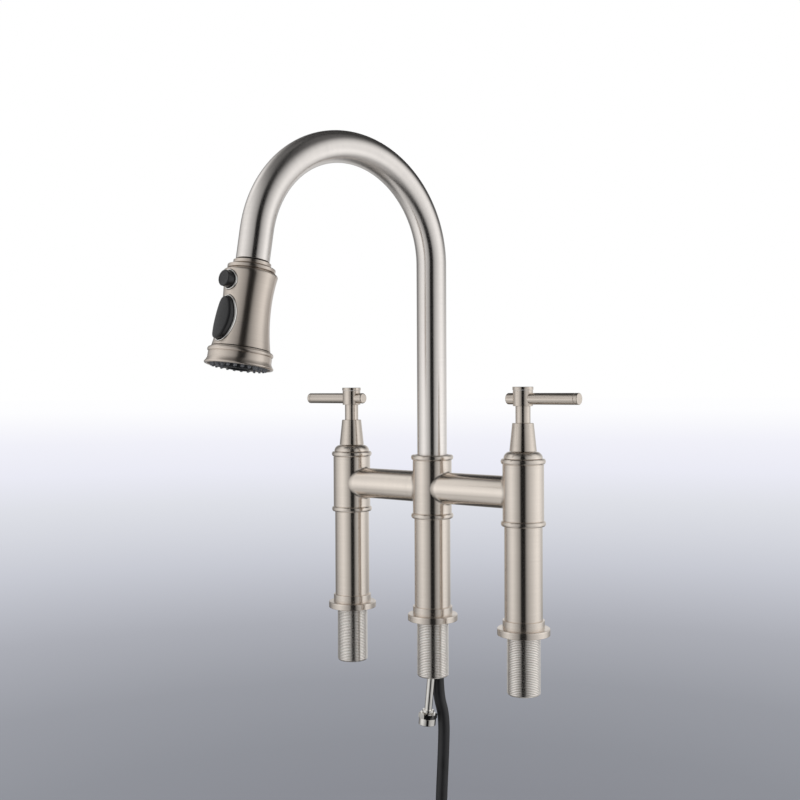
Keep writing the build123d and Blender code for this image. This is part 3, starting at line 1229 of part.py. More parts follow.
with BuildPart() as outlet_nut:
    with BuildSketch(OUTLET_END.offset(nut_top)):
        RegularPolygon(NUT_ACROSS / 2, 6, major_radius=False)
    extrude(amount=NUT_HEX_T)
    with BuildSketch(OUTLET_END.offset(nut_top + NUT_HEX_T)):
        Circle(NUT_ROUND_R)
    extrude(amount=NUT_LENGTH - NUT_HEX_T)
    with BuildSketch(OUTLET_END.offset(nut_top)):
        Circle(OUTLET_R + CLEAR)
    extrude(amount=NUT_WEB, mode=Mode.SUBTRACT)
    with BuildSketch(OUTLET_END.offset(nut_top + NUT_WEB)):
        Circle(NUT_BORE_R)
    extrude(amount=NUT_LENGTH, mode=Mode.SUBTRACT)
outlet_nut.part.label = "outlet_nut"
export_step(outlet_nut.part, "parts/outlet_nut.step")
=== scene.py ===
import bmesh
import bpy
import math
from mathutils import Matrix, Vector


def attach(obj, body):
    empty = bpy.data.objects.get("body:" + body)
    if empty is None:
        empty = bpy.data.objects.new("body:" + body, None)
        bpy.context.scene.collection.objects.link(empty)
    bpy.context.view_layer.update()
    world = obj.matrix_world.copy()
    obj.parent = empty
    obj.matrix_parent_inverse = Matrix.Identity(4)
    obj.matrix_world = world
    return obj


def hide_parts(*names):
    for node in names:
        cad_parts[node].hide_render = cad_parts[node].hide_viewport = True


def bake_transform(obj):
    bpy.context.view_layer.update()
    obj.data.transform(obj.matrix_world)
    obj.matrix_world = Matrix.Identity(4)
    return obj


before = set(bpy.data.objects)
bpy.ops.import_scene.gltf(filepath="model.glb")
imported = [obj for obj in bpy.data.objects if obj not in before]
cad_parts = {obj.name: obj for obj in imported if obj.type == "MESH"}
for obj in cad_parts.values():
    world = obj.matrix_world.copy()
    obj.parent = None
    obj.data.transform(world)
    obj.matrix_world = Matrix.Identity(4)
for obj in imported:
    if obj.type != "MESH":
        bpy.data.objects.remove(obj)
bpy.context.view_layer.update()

# ---- camera --------------------------------------------------------------------------
# A 49 mm lens about a metre from the centre column, level with the tops of the handles and
# about 37 degrees to the right of the faucet's front.

eye = Vector((0.6221, -0.8119, 0.2184))
yaw, dip, roll = math.radians(39.2), math.radians(0.58), math.radians(-0.25)
ahead = Vector((-math.sin(yaw) * math.cos(dip), math.cos(yaw) * math.cos(dip), -math.sin(dip)))
level = Vector((math.cos(yaw), math.sin(yaw), 0))
right = level * math.cos(roll) + level.cross(ahead) * math.sin(roll)
camera = bpy.data.objects.new("camera", bpy.data.cameras.new("camera"))
facing = Matrix((right, right.cross(ahead), -ahead)).transposed()
camera.matrix_world = Matrix.Translation(eye) @ facing.to_4x4()
camera.data.lens = 48.67
camera.data.sensor_width = 36
camera.data.shift_x = 0.00125
bpy.context.scene.collection.objects.link(camera)
bpy.context.scene.camera = camera
bpy.context.scene.view_settings.view_transform = "Standard"

# ---- studio: floor, light tent, lamps --------------------------------------------------
# A floor painted grey near the object that pales into the white background: painted shade, and camera rays
# see it partly as painted glow. The metal mirrors a light tent around the object: white walls with a dark
# slot where the camera stands, dimmer high up and behind.


def link(kind, tree, **sockets):
    """New shader node; each keyword is one of its properties, a socket value or a socket link."""
    node = tree.nodes.new(kind)
    for key, value in sockets.items():
        if hasattr(node, key):
            setattr(node, key, value)
            continue
        socket = node.inputs[int(key[1:]) if key[1:].isdigit() else key.replace("_", " ")]
        if isinstance(value, bpy.types.NodeSocket):
            tree.links.new(value, socket)
        else:
            socket.default_value = value
    return node


def ramp(tree, fac, stops):
    """Colour ramp over (place, grey or colour) stops."""
    node = link("ShaderNodeValToRGB", tree, Fac=fac)
    for i, (place, tone) in enumerate(stops):
        stop = node.color_ramp.elements[i] if i < 2 else node.color_ramp.elements.new(place)
        stop.position = place
        stop.color = (*tone, 1) if isinstance(tone, tuple) else (tone, tone, tone, 1)
    return node.outputs["Color"]


def new_material(name):
    """Empty node material and its tree."""
    material = bpy.data.materials.new(name)
    material.use_nodes = True
    material.node_tree.nodes.clear()
    return material, material.node_tree


def shaped(name, points, faces, material, uvs=None):
    """Smooth object made of points and faces, with one uv pair for each corner of each face."""
    mesh = bpy.data.meshes.new(name)
    mesh.from_pydata([tuple(p) for p in points], [], faces)
    if uvs:
        layer = mesh.uv_layers.new(name="run")
        layer.data.foreach_set("uv", [x for face in uvs for pair in face for x in pair])
    mesh.polygons.foreach_set("use_smooth", [True] * len(mesh.polygons))
    mesh.materials.append(material)
    mesh.validate()
    facing = bmesh.new()
    facing.from_mesh(mesh)
    bmesh.ops.recalc_face_normals(facing, faces=facing.faces)
    facing.to_mesh(mesh)
    facing.free()
    piece = bpy.data.objects.new(name, mesh)
    bpy.context.scene.collection.objects.link(piece)
    return piece


FLOOR_Z = -0.319
world = bpy.data.worlds.new("studio")
bpy.context.scene.world = world
world.use_nodes = True
sky = world.node_tree
sky.nodes.clear()
rays = link("ShaderNodeLightPath", sky)
way = link("ShaderNodeSeparateXYZ", sky, Vector=link("ShaderNodeTexCoord", sky).outputs["Generated"])
lift = link("ShaderNodeMapRange", sky, Value=way.outputs["Z"], From_Min=-1.0, From_Max=1.0).outputs["Result"]
fill = link("ShaderNodeBackground", sky, Strength=0.95, Color=ramp(sky, lift, [
    (0, (0.45, 0.46, 0.48)), (0.45, (0.62, 0.63, 0.65)), (0.75, (0.80, 0.80, 0.81)),
    (1, (0.86, 0.86, 0.86))]))
white = link("ShaderNodeBackground", sky, Color=(1, 1, 1, 1), Strength=1.0)
seen = link("ShaderNodeMixShader", sky, _0=rays.outputs["Is Camera Ray"], _1=fill.outputs[0],
            _2=white.outputs[0])
link("ShaderNodeOutputWorld", sky, Surface=seen.outputs[0])

floor_paint, tree = new_material("studio_floor")
spot = link("ShaderNodeSeparateXYZ", tree, Vector=link("ShaderNodeNewGeometry", tree).outputs["Position"])
flat_spot = link("ShaderNodeCombineXYZ", tree, X=spot.outputs["X"], Y=spot.outputs["Y"]).outputs[0]
far = link("ShaderNodeVectorMath", tree, operation="LENGTH", _0=flat_spot).outputs["Value"]
far = link("ShaderNodeMath", tree, operation="ADD", _0=far, _1=1.02).outputs[0]
near = link("ShaderNodeMath", tree, operation="DIVIDE", _0=1.4, _1=far).outputs[0]
# painted shade: the floor's colour darkens from white far away to grey near the object
pale = ramp(tree, near, [
    (0.0, (1.0, 1.0, 1.0)), (0.05, (0.985, 0.985, 1.0)), (0.123, (0.88, 0.88, 0.947)),
    (0.195, (0.825, 0.83, 0.91)), (0.268, (0.735, 0.748, 0.80)), (0.412, (0.586, 0.60, 0.66)),
    (0.557, (0.42, 0.43, 0.475)), (0.70, (0.32, 0.33, 0.365)), (0.846, (0.27, 0.28, 0.31)),
    (0.966, (0.25, 0.258, 0.287))])
paper = link("ShaderNodeBsdfDiffuse", tree, Color=pale)
# painted glow: camera rays see the floor partly as emission in its own colour, more of it further out
glow = link("ShaderNodeEmission", tree, Color=pale)
rays = link("ShaderNodeLightPath", tree)
painted_glow_and_haze = ramp(tree, near, [(0.35, 1.0), (1.0, 0.3)])
painted_glow_and_haze = link("ShaderNodeMath", tree, operation="MULTIPLY", _0=painted_glow_and_haze, _1=rays.outputs["Is Camera Ray"])
both = link("ShaderNodeMixShader", tree, _0=painted_glow_and_haze.outputs[0], _1=paper.outputs[0], _2=glow.outputs[0])
link("ShaderNodeOutputMaterial", tree, Surface=both.outputs[0])
turn = [2 * math.pi * i / 96 for i in range(96)]
disc = [(math.cos(a) * r, math.sin(a) * r, FLOOR_Z) for r in (0.5, 2, 60) for a in turn]
rings = [(k * 96 + i, k * 96 + (i + 1) % 96, k * 96 + 96 + (i + 1) % 96, k * 96 + 96 + i)
         for k in (0, 1) for i in range(96)]
shaped("studio_floor", disc, [tuple(range(96))] + rings, floor_paint)

# what the metal mirrors: the light of the wall and of the ground by azimuth, in degrees, and the
# wall's share of it by height, in metres, at the sides, at the rear and on the left
WALL = (
    (-180, 0.34), (-165, 0.6), (-155, 0.75), (-144, 0.757), (-128, 0.74), (-119, 0.78), (-104, 0.67),
    (-90, 0.51), (-77, 0.37), (-69, 0.26), (-65, 0.16), (-63, 0.004), (-40, 0.004), (-38, 0.15), (-31, 0.30),
    (-18, 0.48), (0, 0.64), (15, 0.79), (30, 0.87), (45, 0.76), (66, 0.59), (90, 0.56), (115, 0.66),
    (140, 0.5), (165, 0.2), (180, 0.34))
GROUND = (
    (-180, 0.04), (-168, 0.16), (-158, 0.4), (-142, 0.62), (-104, 0.54), (-77, 0.3), (-65, 0.12),
    (-62, 0.01), (-41, 0.01), (-38, 0.1), (0, 0.5), (40, 0.55), (66, 0.3), (90, 0.16), (110, 0.12),
    (140, 0.05), (160, 0.03), (180, 0.04))
SIDES = (
    (-0.31, 0.55), (-0.19, 0.75), (-0.057, 0.85), (0.073, 0.98), (0.2, 0.95), (0.32, 0.86), (0.6, 0.85),
    (0.8, 0.66), (1.0, 0.4), (1.15, 0.23), (1.35, 0.12), (1.69, 0.1))
REAR = (
    (-0.31, 0.14), (-0.19, 0.3), (-0.057, 0.7), (0.073, 0.95), (0.3, 0.8), (0.42, 0.5), (0.6, 0.08),
    (0.8, 0.04), (1.69, 0.03))
LEFT = (
    (-0.31, 0.4), (-0.19, 0.5), (-0.057, 0.58), (0.073, 0.68), (0.2, 0.66), (0.32, 0.6), (0.45, 0.55),
    (0.55, 0.62), (0.65, 0.9), (0.85, 1.0), (1.0, 0.75), (1.2, 0.3), (1.69, 0.1))
TENT_R, TENT_LOW, TENT_HIGH, TENT_GLOW = 0.65, -0.31, 1.69, 1.3


def mirrored(name, points, faces, walls):
    """Part of the tent that only glossy rays meet, lit by azimuth and, for the walls, by height."""
    paint, tree = new_material(name)
    spot = link("ShaderNodeSeparateXYZ", tree, Vector=link("ShaderNodeNewGeometry", tree).outputs["Position"])
    azimuth = link("ShaderNodeMath", tree, operation="ARCTAN2", _0=spot.outputs["Y"], _1=spot.outputs["X"])
    azimuth = link("ShaderNodeMapRange", tree, Value=azimuth.outputs[0], From_Min=-math.pi, From_Max=math.pi)
    azimuth = azimuth.outputs["Result"]
    tone = ramp(tree, azimuth, [((a + 180) / 360, v) for a, v in (WALL if walls else GROUND)])
    if walls:
        height = link("ShaderNodeMapRange", tree, Value=spot.outputs["Z"], From_Min=TENT_LOW,
                      From_Max=TENT_HIGH).outputs["Result"]
        sides, rear, left = (
            ramp(tree, height, [((z - TENT_LOW) / (TENT_HIGH - TENT_LOW), v) for z, v in stops])
            for stops in (SIDES, REAR, LEFT))
        behind, beside = (
            ramp(tree, azimuth, [((a + 180) / 360, v) for a, v in stops])
            for stops in (((50, 0.0), (75, 1.0), (150, 1.0), (172, 0.0)),
                          ((-180, 1.0), (-155, 1.0), (-128, 0.0), (160, 0.0), (175, 1.0))))
        share = link("ShaderNodeMix", tree, data_type="RGBA", Factor=behind, _6=sides, _7=rear).outputs[2]
        share = link("ShaderNodeMix", tree, data_type="RGBA", Factor=beside, _6=share, _7=left).outputs[2]
        tone = link("ShaderNodeMix", tree, data_type="RGBA", blend_type="MULTIPLY", Factor=1.0, _6=tone,
                    _7=share).outputs[2]
    glow = link("ShaderNodeEmission", tree, Color=tone, Strength=TENT_GLOW if walls else 1.0)
    link("ShaderNodeOutputMaterial", tree, Surface=glow.outputs[0])
    part = shaped(name, points, faces, paint)
    part.visible_camera = False
    part.visible_diffuse = False
    part.visible_shadow = False
    part.visible_transmission = False


wall = [(math.cos(a) * TENT_R, math.sin(a) * TENT_R, z) for z in (FLOOR_Z + 0.001, TENT_HIGH) for a in turn]
wall.append((0, 0, TENT_HIGH))
around = [(i, (i + 1) % 96, 96 + (i + 1) % 96, 96 + i) for i in range(96)]
around += [(96 + i, 96 + (i + 1) % 96, 192) for i in range(96)]
mirrored("light_tent", wall, around, True)
ground = [(math.cos(a) * TENT_R, math.sin(a) * TENT_R, FLOOR_Z + 0.0008) for a in turn]
ground.append((0, 0, FLOOR_Z + 0.0008))
mirrored("tent_ground", ground, [(i, (i + 1) % 96, 96) for i in range(96)], False)

# soft lamps that shade the plastic, the rubber and the floor
for name, size, watts, at in (("key", 0.9, 9, (-0.9, -1.1, 1.3)), ("top", 1.2, 8, (0.3, 0.2, 1.7))):
    lamp = bpy.data.objects.new(name, bpy.data.lights.new(name, "AREA"))
    lamp.data.size = size
    lamp.data.energy = watts
    lamp.location = at
    lamp.rotation_euler = (Vector((0, -0.05, 0.15)) - Vector(at)).to_track_quat("-Z", "Y").to_euler()
    lamp.visible_camera = False
    lamp.visible_glossy = False
    bpy.context.scene.collection.objects.link(lamp)

# ---- feet ------------------------------------------------------------------------------
# Each foot is a brass turning, plated and brushed round: a flange with eased edges and
# the collar that the leg stands in. It is clamped to the deck by its shank.


def brushed(name, colour, rough, fine=1.0):
    """Brushed plate: gloss drawn out across the scratches, which run round the piece."""
    material, tree = new_material(name)
    run = link("ShaderNodeUVMap", tree, uv_map="run").outputs["UV"]
    grain = link("ShaderNodeMapping", tree, Vector=run, Scale=(5, 2600 * fine, 1)).outputs["Vector"]
    lines = link("ShaderNodeTexNoise", tree, Vector=grain, Scale=1.0, Detail=2.0, Roughness=0.6)
    lines = lines.outputs["Fac"]
    cloud = link("ShaderNodeTexCoord", tree).outputs["Object"]
    cloud = link("ShaderNodeTexNoise", tree, Vector=cloud, Scale=24.0, Detail=3.0).outputs["Fac"]
    both = link("ShaderNodeMath", tree, operation="MULTIPLY_ADD", _0=cloud, _1=0.35, _2=lines).outputs[0]
    dim = tuple(c * 0.93 for c in colour)
    lit = tuple(min(1.0, c * 1.05) for c in colour)
    paint = ramp(tree, both, [(0.38, dim), (0.68, colour), (0.98, lit)])
    matt = link("ShaderNodeMapRange", tree, Value=both, From_Min=0.3, From_Max=1.0, To_Min=rough + 0.03,
                To_Max=rough - 0.03)
    bump = link("ShaderNodeBump", tree, Strength=0.035, Distance=0.0001, Height=lines)
    along = link("ShaderNodeTangent", tree, direction_type="UV_MAP", uv_map="run")
    shader = link(
        "ShaderNodeBsdfPrincipled", tree, Base_Color=paint, Metallic=1.0, Roughness=matt.outputs["Result"],
        Anisotropic=0.9, Anisotropic_Rotation=0.25, Normal=bump.outputs[0], Tangent=along.outputs[0])
    link("ShaderNodeOutputMaterial", tree, Surface=shader.outputs[0])
    return material


def eased(outline):
    """Outline with an arc at each corner that names a radius, and a point close before and after it."""
    line = []
    for i, corner in enumerate(outline):
        here = Vector(corner[:2])
        if len(corner) < 3 or i in (0, len(outline) - 1):
            line.append(here)
            continue
        a, b = Vector(outline[i - 1][:2]) - here, Vector(outline[i + 1][:2]) - here
        half = a.angle(b) / 2
        cut = min(corner[2] / math.tan(half), 0.42 * a.length, 0.42 * b.length)
        centre = here + (a.normalized() + b.normalized()).normalized() * (cut / math.cos(half))
        first, last = here + a.normalized() * cut, here + b.normalized() * cut
        line.append(here + a.normalized() * min(1.5 * cut, 0.47 * a.length))
        for k in range(5):
            arm = (first - centre) * (4 - k) + (last - centre) * k
            line.append(centre + arm.normalized() * (first - centre).length)
        line.append(here + b.normalized() * min(1.5 * cut, 0.47 * b.length))
    return line


def place(origin, axis, across):
    """Frame with its Z along an axis, at a point given in metres."""
    z = Vector(axis).normalized()
    x = (Vector(across) - z * z.dot(Vector(across))).normalized()
    return Matrix.Translation(Vector(origin)) @ Matrix((x, z.cross(x), z)).transposed().to_4x4()


def turned(name, outline, material, where, steps=128):
    """Piece turned about the Z axis of a frame, from (radius, height) corners in millimetres."""
    line = eased(outline)
    points, loops, faces, uvs = [], [], [], []
    for radius, z in line:
        count = 1 if radius < 1e-4 else steps
        loops.append([len(points) + i % count for i in range(steps + 1)])
        for t in (2 * math.pi * i / steps for i in range(count)):
            points.append(where @ (Vector((radius * math.cos(t), radius * math.sin(t), z)) / 1000))
    reach, girth = 0, max(p[0] for p in line) * 2 * math.pi / steps / 1000
    for a, b, p, q in zip(loops, loops[1:], line, line[1:]):
        on = reach + (q - p).length / 1000
        for i in range(steps):
            corners = [(a[i], (i * girth, reach)), (a[i + 1], ((i + 1) * girth, reach)),
                       (b[i + 1], ((i + 1) * girth, on)), (b[i], (i * girth, on))]
            if a[i] == a[i + 1]:
                corners.pop(1)
            if b[i] == b[i + 1]:
                corners.pop(-1)
            if len(corners) > 2:
                faces.append([c[0] for c in corners])
                uvs.append([c[1] for c in corners])
        reach = on
    piece = shaped(name, points, faces, material, uvs)
    piece.data.set_sharp_from_angle(angle=math.radians(40))
    return piece


def dress(material, *nodes):
    """Give the CAD pieces of these names a material."""
    for node in nodes:
        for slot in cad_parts[node].material_slots:
            slot.material = material


SPREAD = 101.6
COLUMNS = (("left", -SPREAD), ("centre", 0.0), ("right", SPREAD))
nickel = brushed("brushed_nickel", (0.79, 0.716, 0.644), 0.24)

for name, x in COLUMNS:
    at = Matrix.Translation((x / 1000, 0, 0))
    foot = turned(f"{name}_foot_turning", [
        (14.3, 0), (17.2, 0, 0.15), (17.2, 1.5), (21.5, 1.5), (21.5, 0, 0.15), (23.6, 0, 0.3),
        (23.6, 6.0, 0.9), (18.7, 6.0, 0.35), (18.7, 13.3, 0.5), (17.05, 13.3, 0.15), (17.05, 12.0)],
        nickel, at)
    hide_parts(f"{name}_foot")
    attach(foot, "faucet_body")

# ---- gaskets ---------------------------------------------------------------------------
# Flat black rubber rings, cut from sheet and pressed into the grooves under the flanges. They
# seal the holes of the deck.


def moulded(name, colour, rough, grain, bump=0.12, sheen=0.0):
    """Moulded plastic or rubber: a fine pebble in its gloss and height, and a faint drift in its colour."""
    material, tree = new_material(name)
    body = link("ShaderNodeTexCoord", tree).outputs["Object"]
    pebble = link("ShaderNodeTexNoise", tree, Vector=body, Scale=grain, Detail=4.0, Roughness=0.6)
    pebble = pebble.outputs["Fac"]
    drift = link("ShaderNodeTexNoise", tree, Vector=body, Scale=60.0, Detail=2.0).outputs["Fac"]
    dim = tuple(c * 0.88 for c in colour)
    lit = tuple(min(1, c * 1.1) for c in colour)
    paint = ramp(tree, drift, [(0.3, dim), (0.7, lit)])
    matt = link("ShaderNodeMapRange", tree, Value=pebble, From_Min=0.3, From_Max=0.7, To_Min=rough - 0.05,
                To_Max=rough + 0.05)
    pits = link("ShaderNodeBump", tree, Strength=bump, Distance=0.0001, Height=pebble)
    shader = link("ShaderNodeBsdfPrincipled", tree, Base_Color=paint, Roughness=matt.outputs["Result"],
                  Sheen_Weight=sheen, Normal=pits.outputs[0])
    link("ShaderNodeOutputMaterial", tree, Surface=shader.outputs[0])
    return material


dress(moulded("black_rubber", (0.03, 0.03, 0.03), 0.6, 2500), "foot_gaskets")

# ---- threaded shanks -------------------------------------------------------------------
# Brass tubes with a rolled M30 x 1.5 thread, plated with the rest, with painted shade in its roots.
# Each is screwed into its leg through the foot, and takes the lock nut under the deck.

PITCH, ROOT_R, CREST_R, SHANK_END = 1.5, 13.9, 14.95, -52.9
# a lit copy of the nickel: the thread's plate is painted paler than the rest to make up for the painted shade
# in its roots
thread_plate = brushed("threaded_nickel", (1.0, 0.955, 0.91), 0.24, fine=0.7)
tree = thread_plate.node_tree
shader = next(node for node in tree.nodes if node.type == "BSDF_PRINCIPLED")
run = link("ShaderNodeUVMap", tree, uv_map="run").outputs["UV"]
along = link("ShaderNodeSeparateXYZ", tree, Vector=run).outputs["Y"]
along = link("ShaderNodeMath", tree, operation="DIVIDE", _0=along, _1=PITCH / 1000).outputs[0]
along = link("ShaderNodeMath", tree, operation="FRACT", _0=along).outputs[0]
# painted shade: the colour darkens in each root of the thread
painted_root_shade = ramp(tree, along, [(0.0, 0.62), (0.12, 0.62), (0.3, 1.0), (0.8, 1.0), (1.0, 0.62)])
plate = shader.inputs["Base Color"].links[0].from_socket
plate = link("ShaderNodeMix", tree, data_type="RGBA", blend_type="MULTIPLY", Factor=1.0, _6=plate,
             _7=painted_root_shade).outputs[2]
tree.links.new(plate, shader.inputs["Base Color"])
for name, x in COLUMNS:
    bore = 12.5 if name == "centre" else 11.0
    turns, steps = 36, 96
    shape = ((0.0, ROOT_R), (0.12, ROOT_R), (0.42, 14.86), (0.5, CREST_R), (1.12, CREST_R), (1.2, 14.86))
    rows = [(k * PITCH + z, r) for k in range(-1, turns) for z, r in shape]
    points, faces, uvs = [], [], []
    for row, (z, r) in enumerate(rows):
        for i in range(steps + 1):
            t = 2 * math.pi * i / steps
            low = SHANK_END + z + PITCH * i / steps
            flat = min(max(low, SHANK_END + 0.05), -0.05)
            ease = min(r, ROOT_R + max(0.0, flat - SHANK_END))
            points.append(Vector((x + ease * math.cos(t), ease * math.sin(t), flat)) / 1000)
    for row in range(len(rows) - 1):
        for i in range(steps):
            a = row * (steps + 1) + i
            faces.append((a, a + 1, a + steps + 2, a + steps + 1))
            u, v = i * 0.001, rows[row][0] / 1000
            top = rows[row + 1][0] / 1000
            uvs.append([(u, v), (u + 0.001, v), (u + 0.001, top), (u, top)])
    thread = shaped(f"{name}_shank_thread", points, faces, thread_plate, uvs)
    cleaned = bmesh.new()
    cleaned.from_mesh(thread.data)
    bmesh.ops.remove_doubles(cleaned, verts=cleaned.verts, dist=1e-6)
    bmesh.ops.recalc_face_normals(cleaned, faces=cleaned.faces)
    cleaned.to_mesh(thread.data)
    thread.data.set_sharp_from_angle(angle=math.radians(75))
    core = turned(f"{name}_shank_bore", [
        (bore, 3.0), (bore, SHANK_END, 0.3), (13.95, SHANK_END, 0.2), (13.95, SHANK_END + 0.9)],
        nickel, Matrix.Translation((x / 1000, 0, 0)), 96)
    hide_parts(f"{name}_shank")
    for piece in (thread, core):
        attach(piece, "faucet_body")

# ---- legs ------------------------------------------------------------------------------
# Plain drawn brass tubes between foot and body, plated and then brushed round their whole
# length. The foot's collar and the body's lower end hold them.

LEG_TOP = 96.4
for name, x in COLUMNS:
    leg = turned(f"{name}_leg_tube", [
        (14.9, 6.0), (17.0, 6.0, 0.1), (17.0, LEG_TOP, 0.1), (14.9, LEG_TOP)],
        nickel, Matrix.Translation((x / 1000, 0, 0)), 160)
    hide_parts(f"{name}_leg")
    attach(leg, "faucet_body")

# ---- column bodies -----------------------------------------------------------------------
# Cast brass bodies, turned and brushed round: a half-round bead at each end with a fine
# groove beside it. The side ones hold the valves, and the spout stands in the centre one.

BODY_R, BODY_TOP, BEAD = 18.4, 156.2, 4.8
half_turn = [math.pi * k / 12 for k in range(13)]
bead = [(BODY_R + 1.6 * math.sin(t), BEAD / 2 * (1 - math.cos(t))) for t in half_turn]
for name, x in COLUMNS:
    node = "centre_hub" if name == "centre" else f"{name}_valve_body"
    mouth = 14.35 if name == "centre" else 14.6
    body = turned(f"{name}_body_turning", [
        (15.2, 102.0), (15.2, LEG_TOP), *[(r, LEG_TOP + h) for r, h in bead],
        (18.05, 101.25, 0.06), (18.05, 101.75, 0.06), (BODY_R, 101.85, 0.1),
        (BODY_R, 150.75, 0.1), (18.05, 150.85, 0.06), (18.05, 151.35, 0.06),
        *[(r, BODY_TOP - BEAD + h) for r, h in bead], (mouth, BODY_TOP, 0.25), (mouth, 150.0)],
        nickel, Matrix.Translation((x / 1000, 0, 0)), 160)
    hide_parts(node)
    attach(body, "faucet_body")

# ---- bridge tubes ------------------------------------------------------------------------
# Two drawn brass tubes, coped to the round bodies, brazed on with a small bright fillet at
# each end and brushed with them. The nipples inside carry the water into the centre body.

BRIDGE_Z, BRIDGE_R, FILLET = 125.4, 14.7, 2.0
# a lit copy of the nickel: the bridge's plate is painted paler than the bodies'
bridge_plate = brushed("bridge_nickel", (0.90, 0.818, 0.736), 0.22)
for name, side in (("left", -1), ("right", 1)):
    where = place((0, 0, BRIDGE_Z / 1000), (side, 0, 0), (0, 0, 1))
    tube = turned(f"{name}_bridge_pipe", [
        (BRIDGE_R, 9.0), (BRIDGE_R, 50.0), (BRIDGE_R, 92.6)], bridge_plate, where, 128)
    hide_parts(f"{name}_bridge_tube")
    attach(tube, "faucet_body")
    for end, (root, out) in enumerate(((0.0, side), (side * SPREAD, -side))):
        points, faces, uvs = [], [], []
        for i in range(97):
            t = 2 * math.pi * i / 96
            y, z = math.cos(t), math.sin(t)
            near = math.sqrt(BODY_R**2 - (BRIDGE_R * y) ** 2)
            wide = math.sqrt(BODY_R**2 - min(BODY_R - 0.25, (BRIDGE_R + FILLET) * abs(y)) ** 2)
            for k in range(7):
                first, middle, last = (1 - k / 6) ** 2, k / 3 * (1 - k / 6), (k / 6) ** 2
                along = first * (near + FILLET) + middle * (near + 0.05) + last * (wide - 0.02)
                reach = first * (BRIDGE_R - 0.02) + middle * (BRIDGE_R + 0.05) + last * (BRIDGE_R + FILLET)
                points.append(Vector((root + out * along, reach * y, BRIDGE_Z + reach * z)) / 1000)
        for i in range(96):
            for k in range(6):
                a = i * 7 + k
                faces.append((a, a + 1, a + 8, a + 7))
                low, high = k * 0.0003, (k + 1) * 0.0003
                uvs.append([(i * 0.001, low), (i * 0.001, high), ((i + 1) * 0.001, high),
                            ((i + 1) * 0.001, low)])
        weld = shaped(f"{name}_bridge_fillet_{end}", points, faces, nickel, uvs)
        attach(weld, "faucet_body")


def machined(name, colour, rough):
    """Turned metal inside: faint tool marks in its height and gloss."""
    material, tree = new_material(name)
    body = link("ShaderNodeTexCoord", tree).outputs["Object"]
    marks = link("ShaderNodeTexNoise", tree, Vector=body, Scale=900.0, Detail=3.0).outputs["Fac"]
    drift = link("ShaderNodeTexNoise", tree, Vector=body, Scale=40.0).outputs["Fac"]
    paint = ramp(tree, drift, [(0.3, tuple(c * 0.88 for c in colour)), (0.7, colour)])
    matt = link("ShaderNodeMapRange", tree, Value=marks, From_Min=0.3, From_Max=0.7, To_Min=rough - 0.05,
                To_Max=rough + 0.05)
    cut = link("ShaderNodeBump", tree, Strength=0.1, Distance=0.0001, Height=marks)
    shader = link("ShaderNodeBsdfPrincipled", tree, Base_Color=paint, Metallic=1.0,
                  Roughness=matt.outputs["Result"], Normal=cut.outputs[0])
    link("ShaderNodeOutputMaterial", tree, Surface=shader.outputs[0])
    return material


brass = machined("brass", (0.72, 0.55, 0.30), 0.3)
dress(brass, "bridge_nipples")

# ---- valves under the bonnets --------------------------------------------------------------
# Brass cartridges with ground ceramic discs turn off the water. A plated brass bonnet with a
# low dome screws each one down.


def ground_ceramic(name, colour):
    """Ground ceramic: pale, with a faint speckle and a low gloss."""
    material, tree = new_material(name)
    body = link("ShaderNodeTexCoord", tree).outputs["Object"]
    speck = link("ShaderNodeTexVoronoi", tree, Vector=body, Scale=3000.0).outputs["Distance"]
    paint = ramp(tree, speck, [(0.0, tuple(c * 0.9 for c in colour)), (0.6, colour)])
    ground = link("ShaderNodeBump", tree, Strength=0.05, Distance=0.00005, Height=speck)
    shader = link("ShaderNodeBsdfPrincipled", tree, Base_Color=paint, Roughness=0.32,
                  Normal=ground.outputs[0])
    link("ShaderNodeOutputMaterial", tree, Surface=shader.outputs[0])
    return material


dress(brass, "cartridge_shells")
dress(ground_ceramic("ceramic", (0.86, 0.85, 0.81)), "fixed_discs", "left_turning_disc", "right_turning_disc")
for name, side in (("left", -1), ("right", 1)):
    dome = [(17.35, 156.9), (17.28, 157.9), (16.9, 159.05), (16.2, 160.15), (15.25, 161.15), (14.2, 161.9),
            (13.3, 162.28)]
    bonnet = turned(f"{name}_bonnet_dome", [
        (14.4, 152.0), (14.4, 156.25), (17.0, 156.25, 0.05), (17.35, 156.5, 0.1), *dome, (12.6, 162.4, 0.15),
        (4.9, 162.4, 0.1), (4.9, 158.0)], nickel, Matrix.Translation((side * SPREAD / 1000, 0, 0)), 160)
    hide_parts(f"{name}_bonnet")
    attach(bonnet, "faucet_body")

# ---- handles -------------------------------------------------------------------------------
# Turned brass: a tapered cone on the valve's spindle, a stem with a hub, and a round bar
# through the hub. A flat cap clamps the bar from above and a plug closes its outer end.


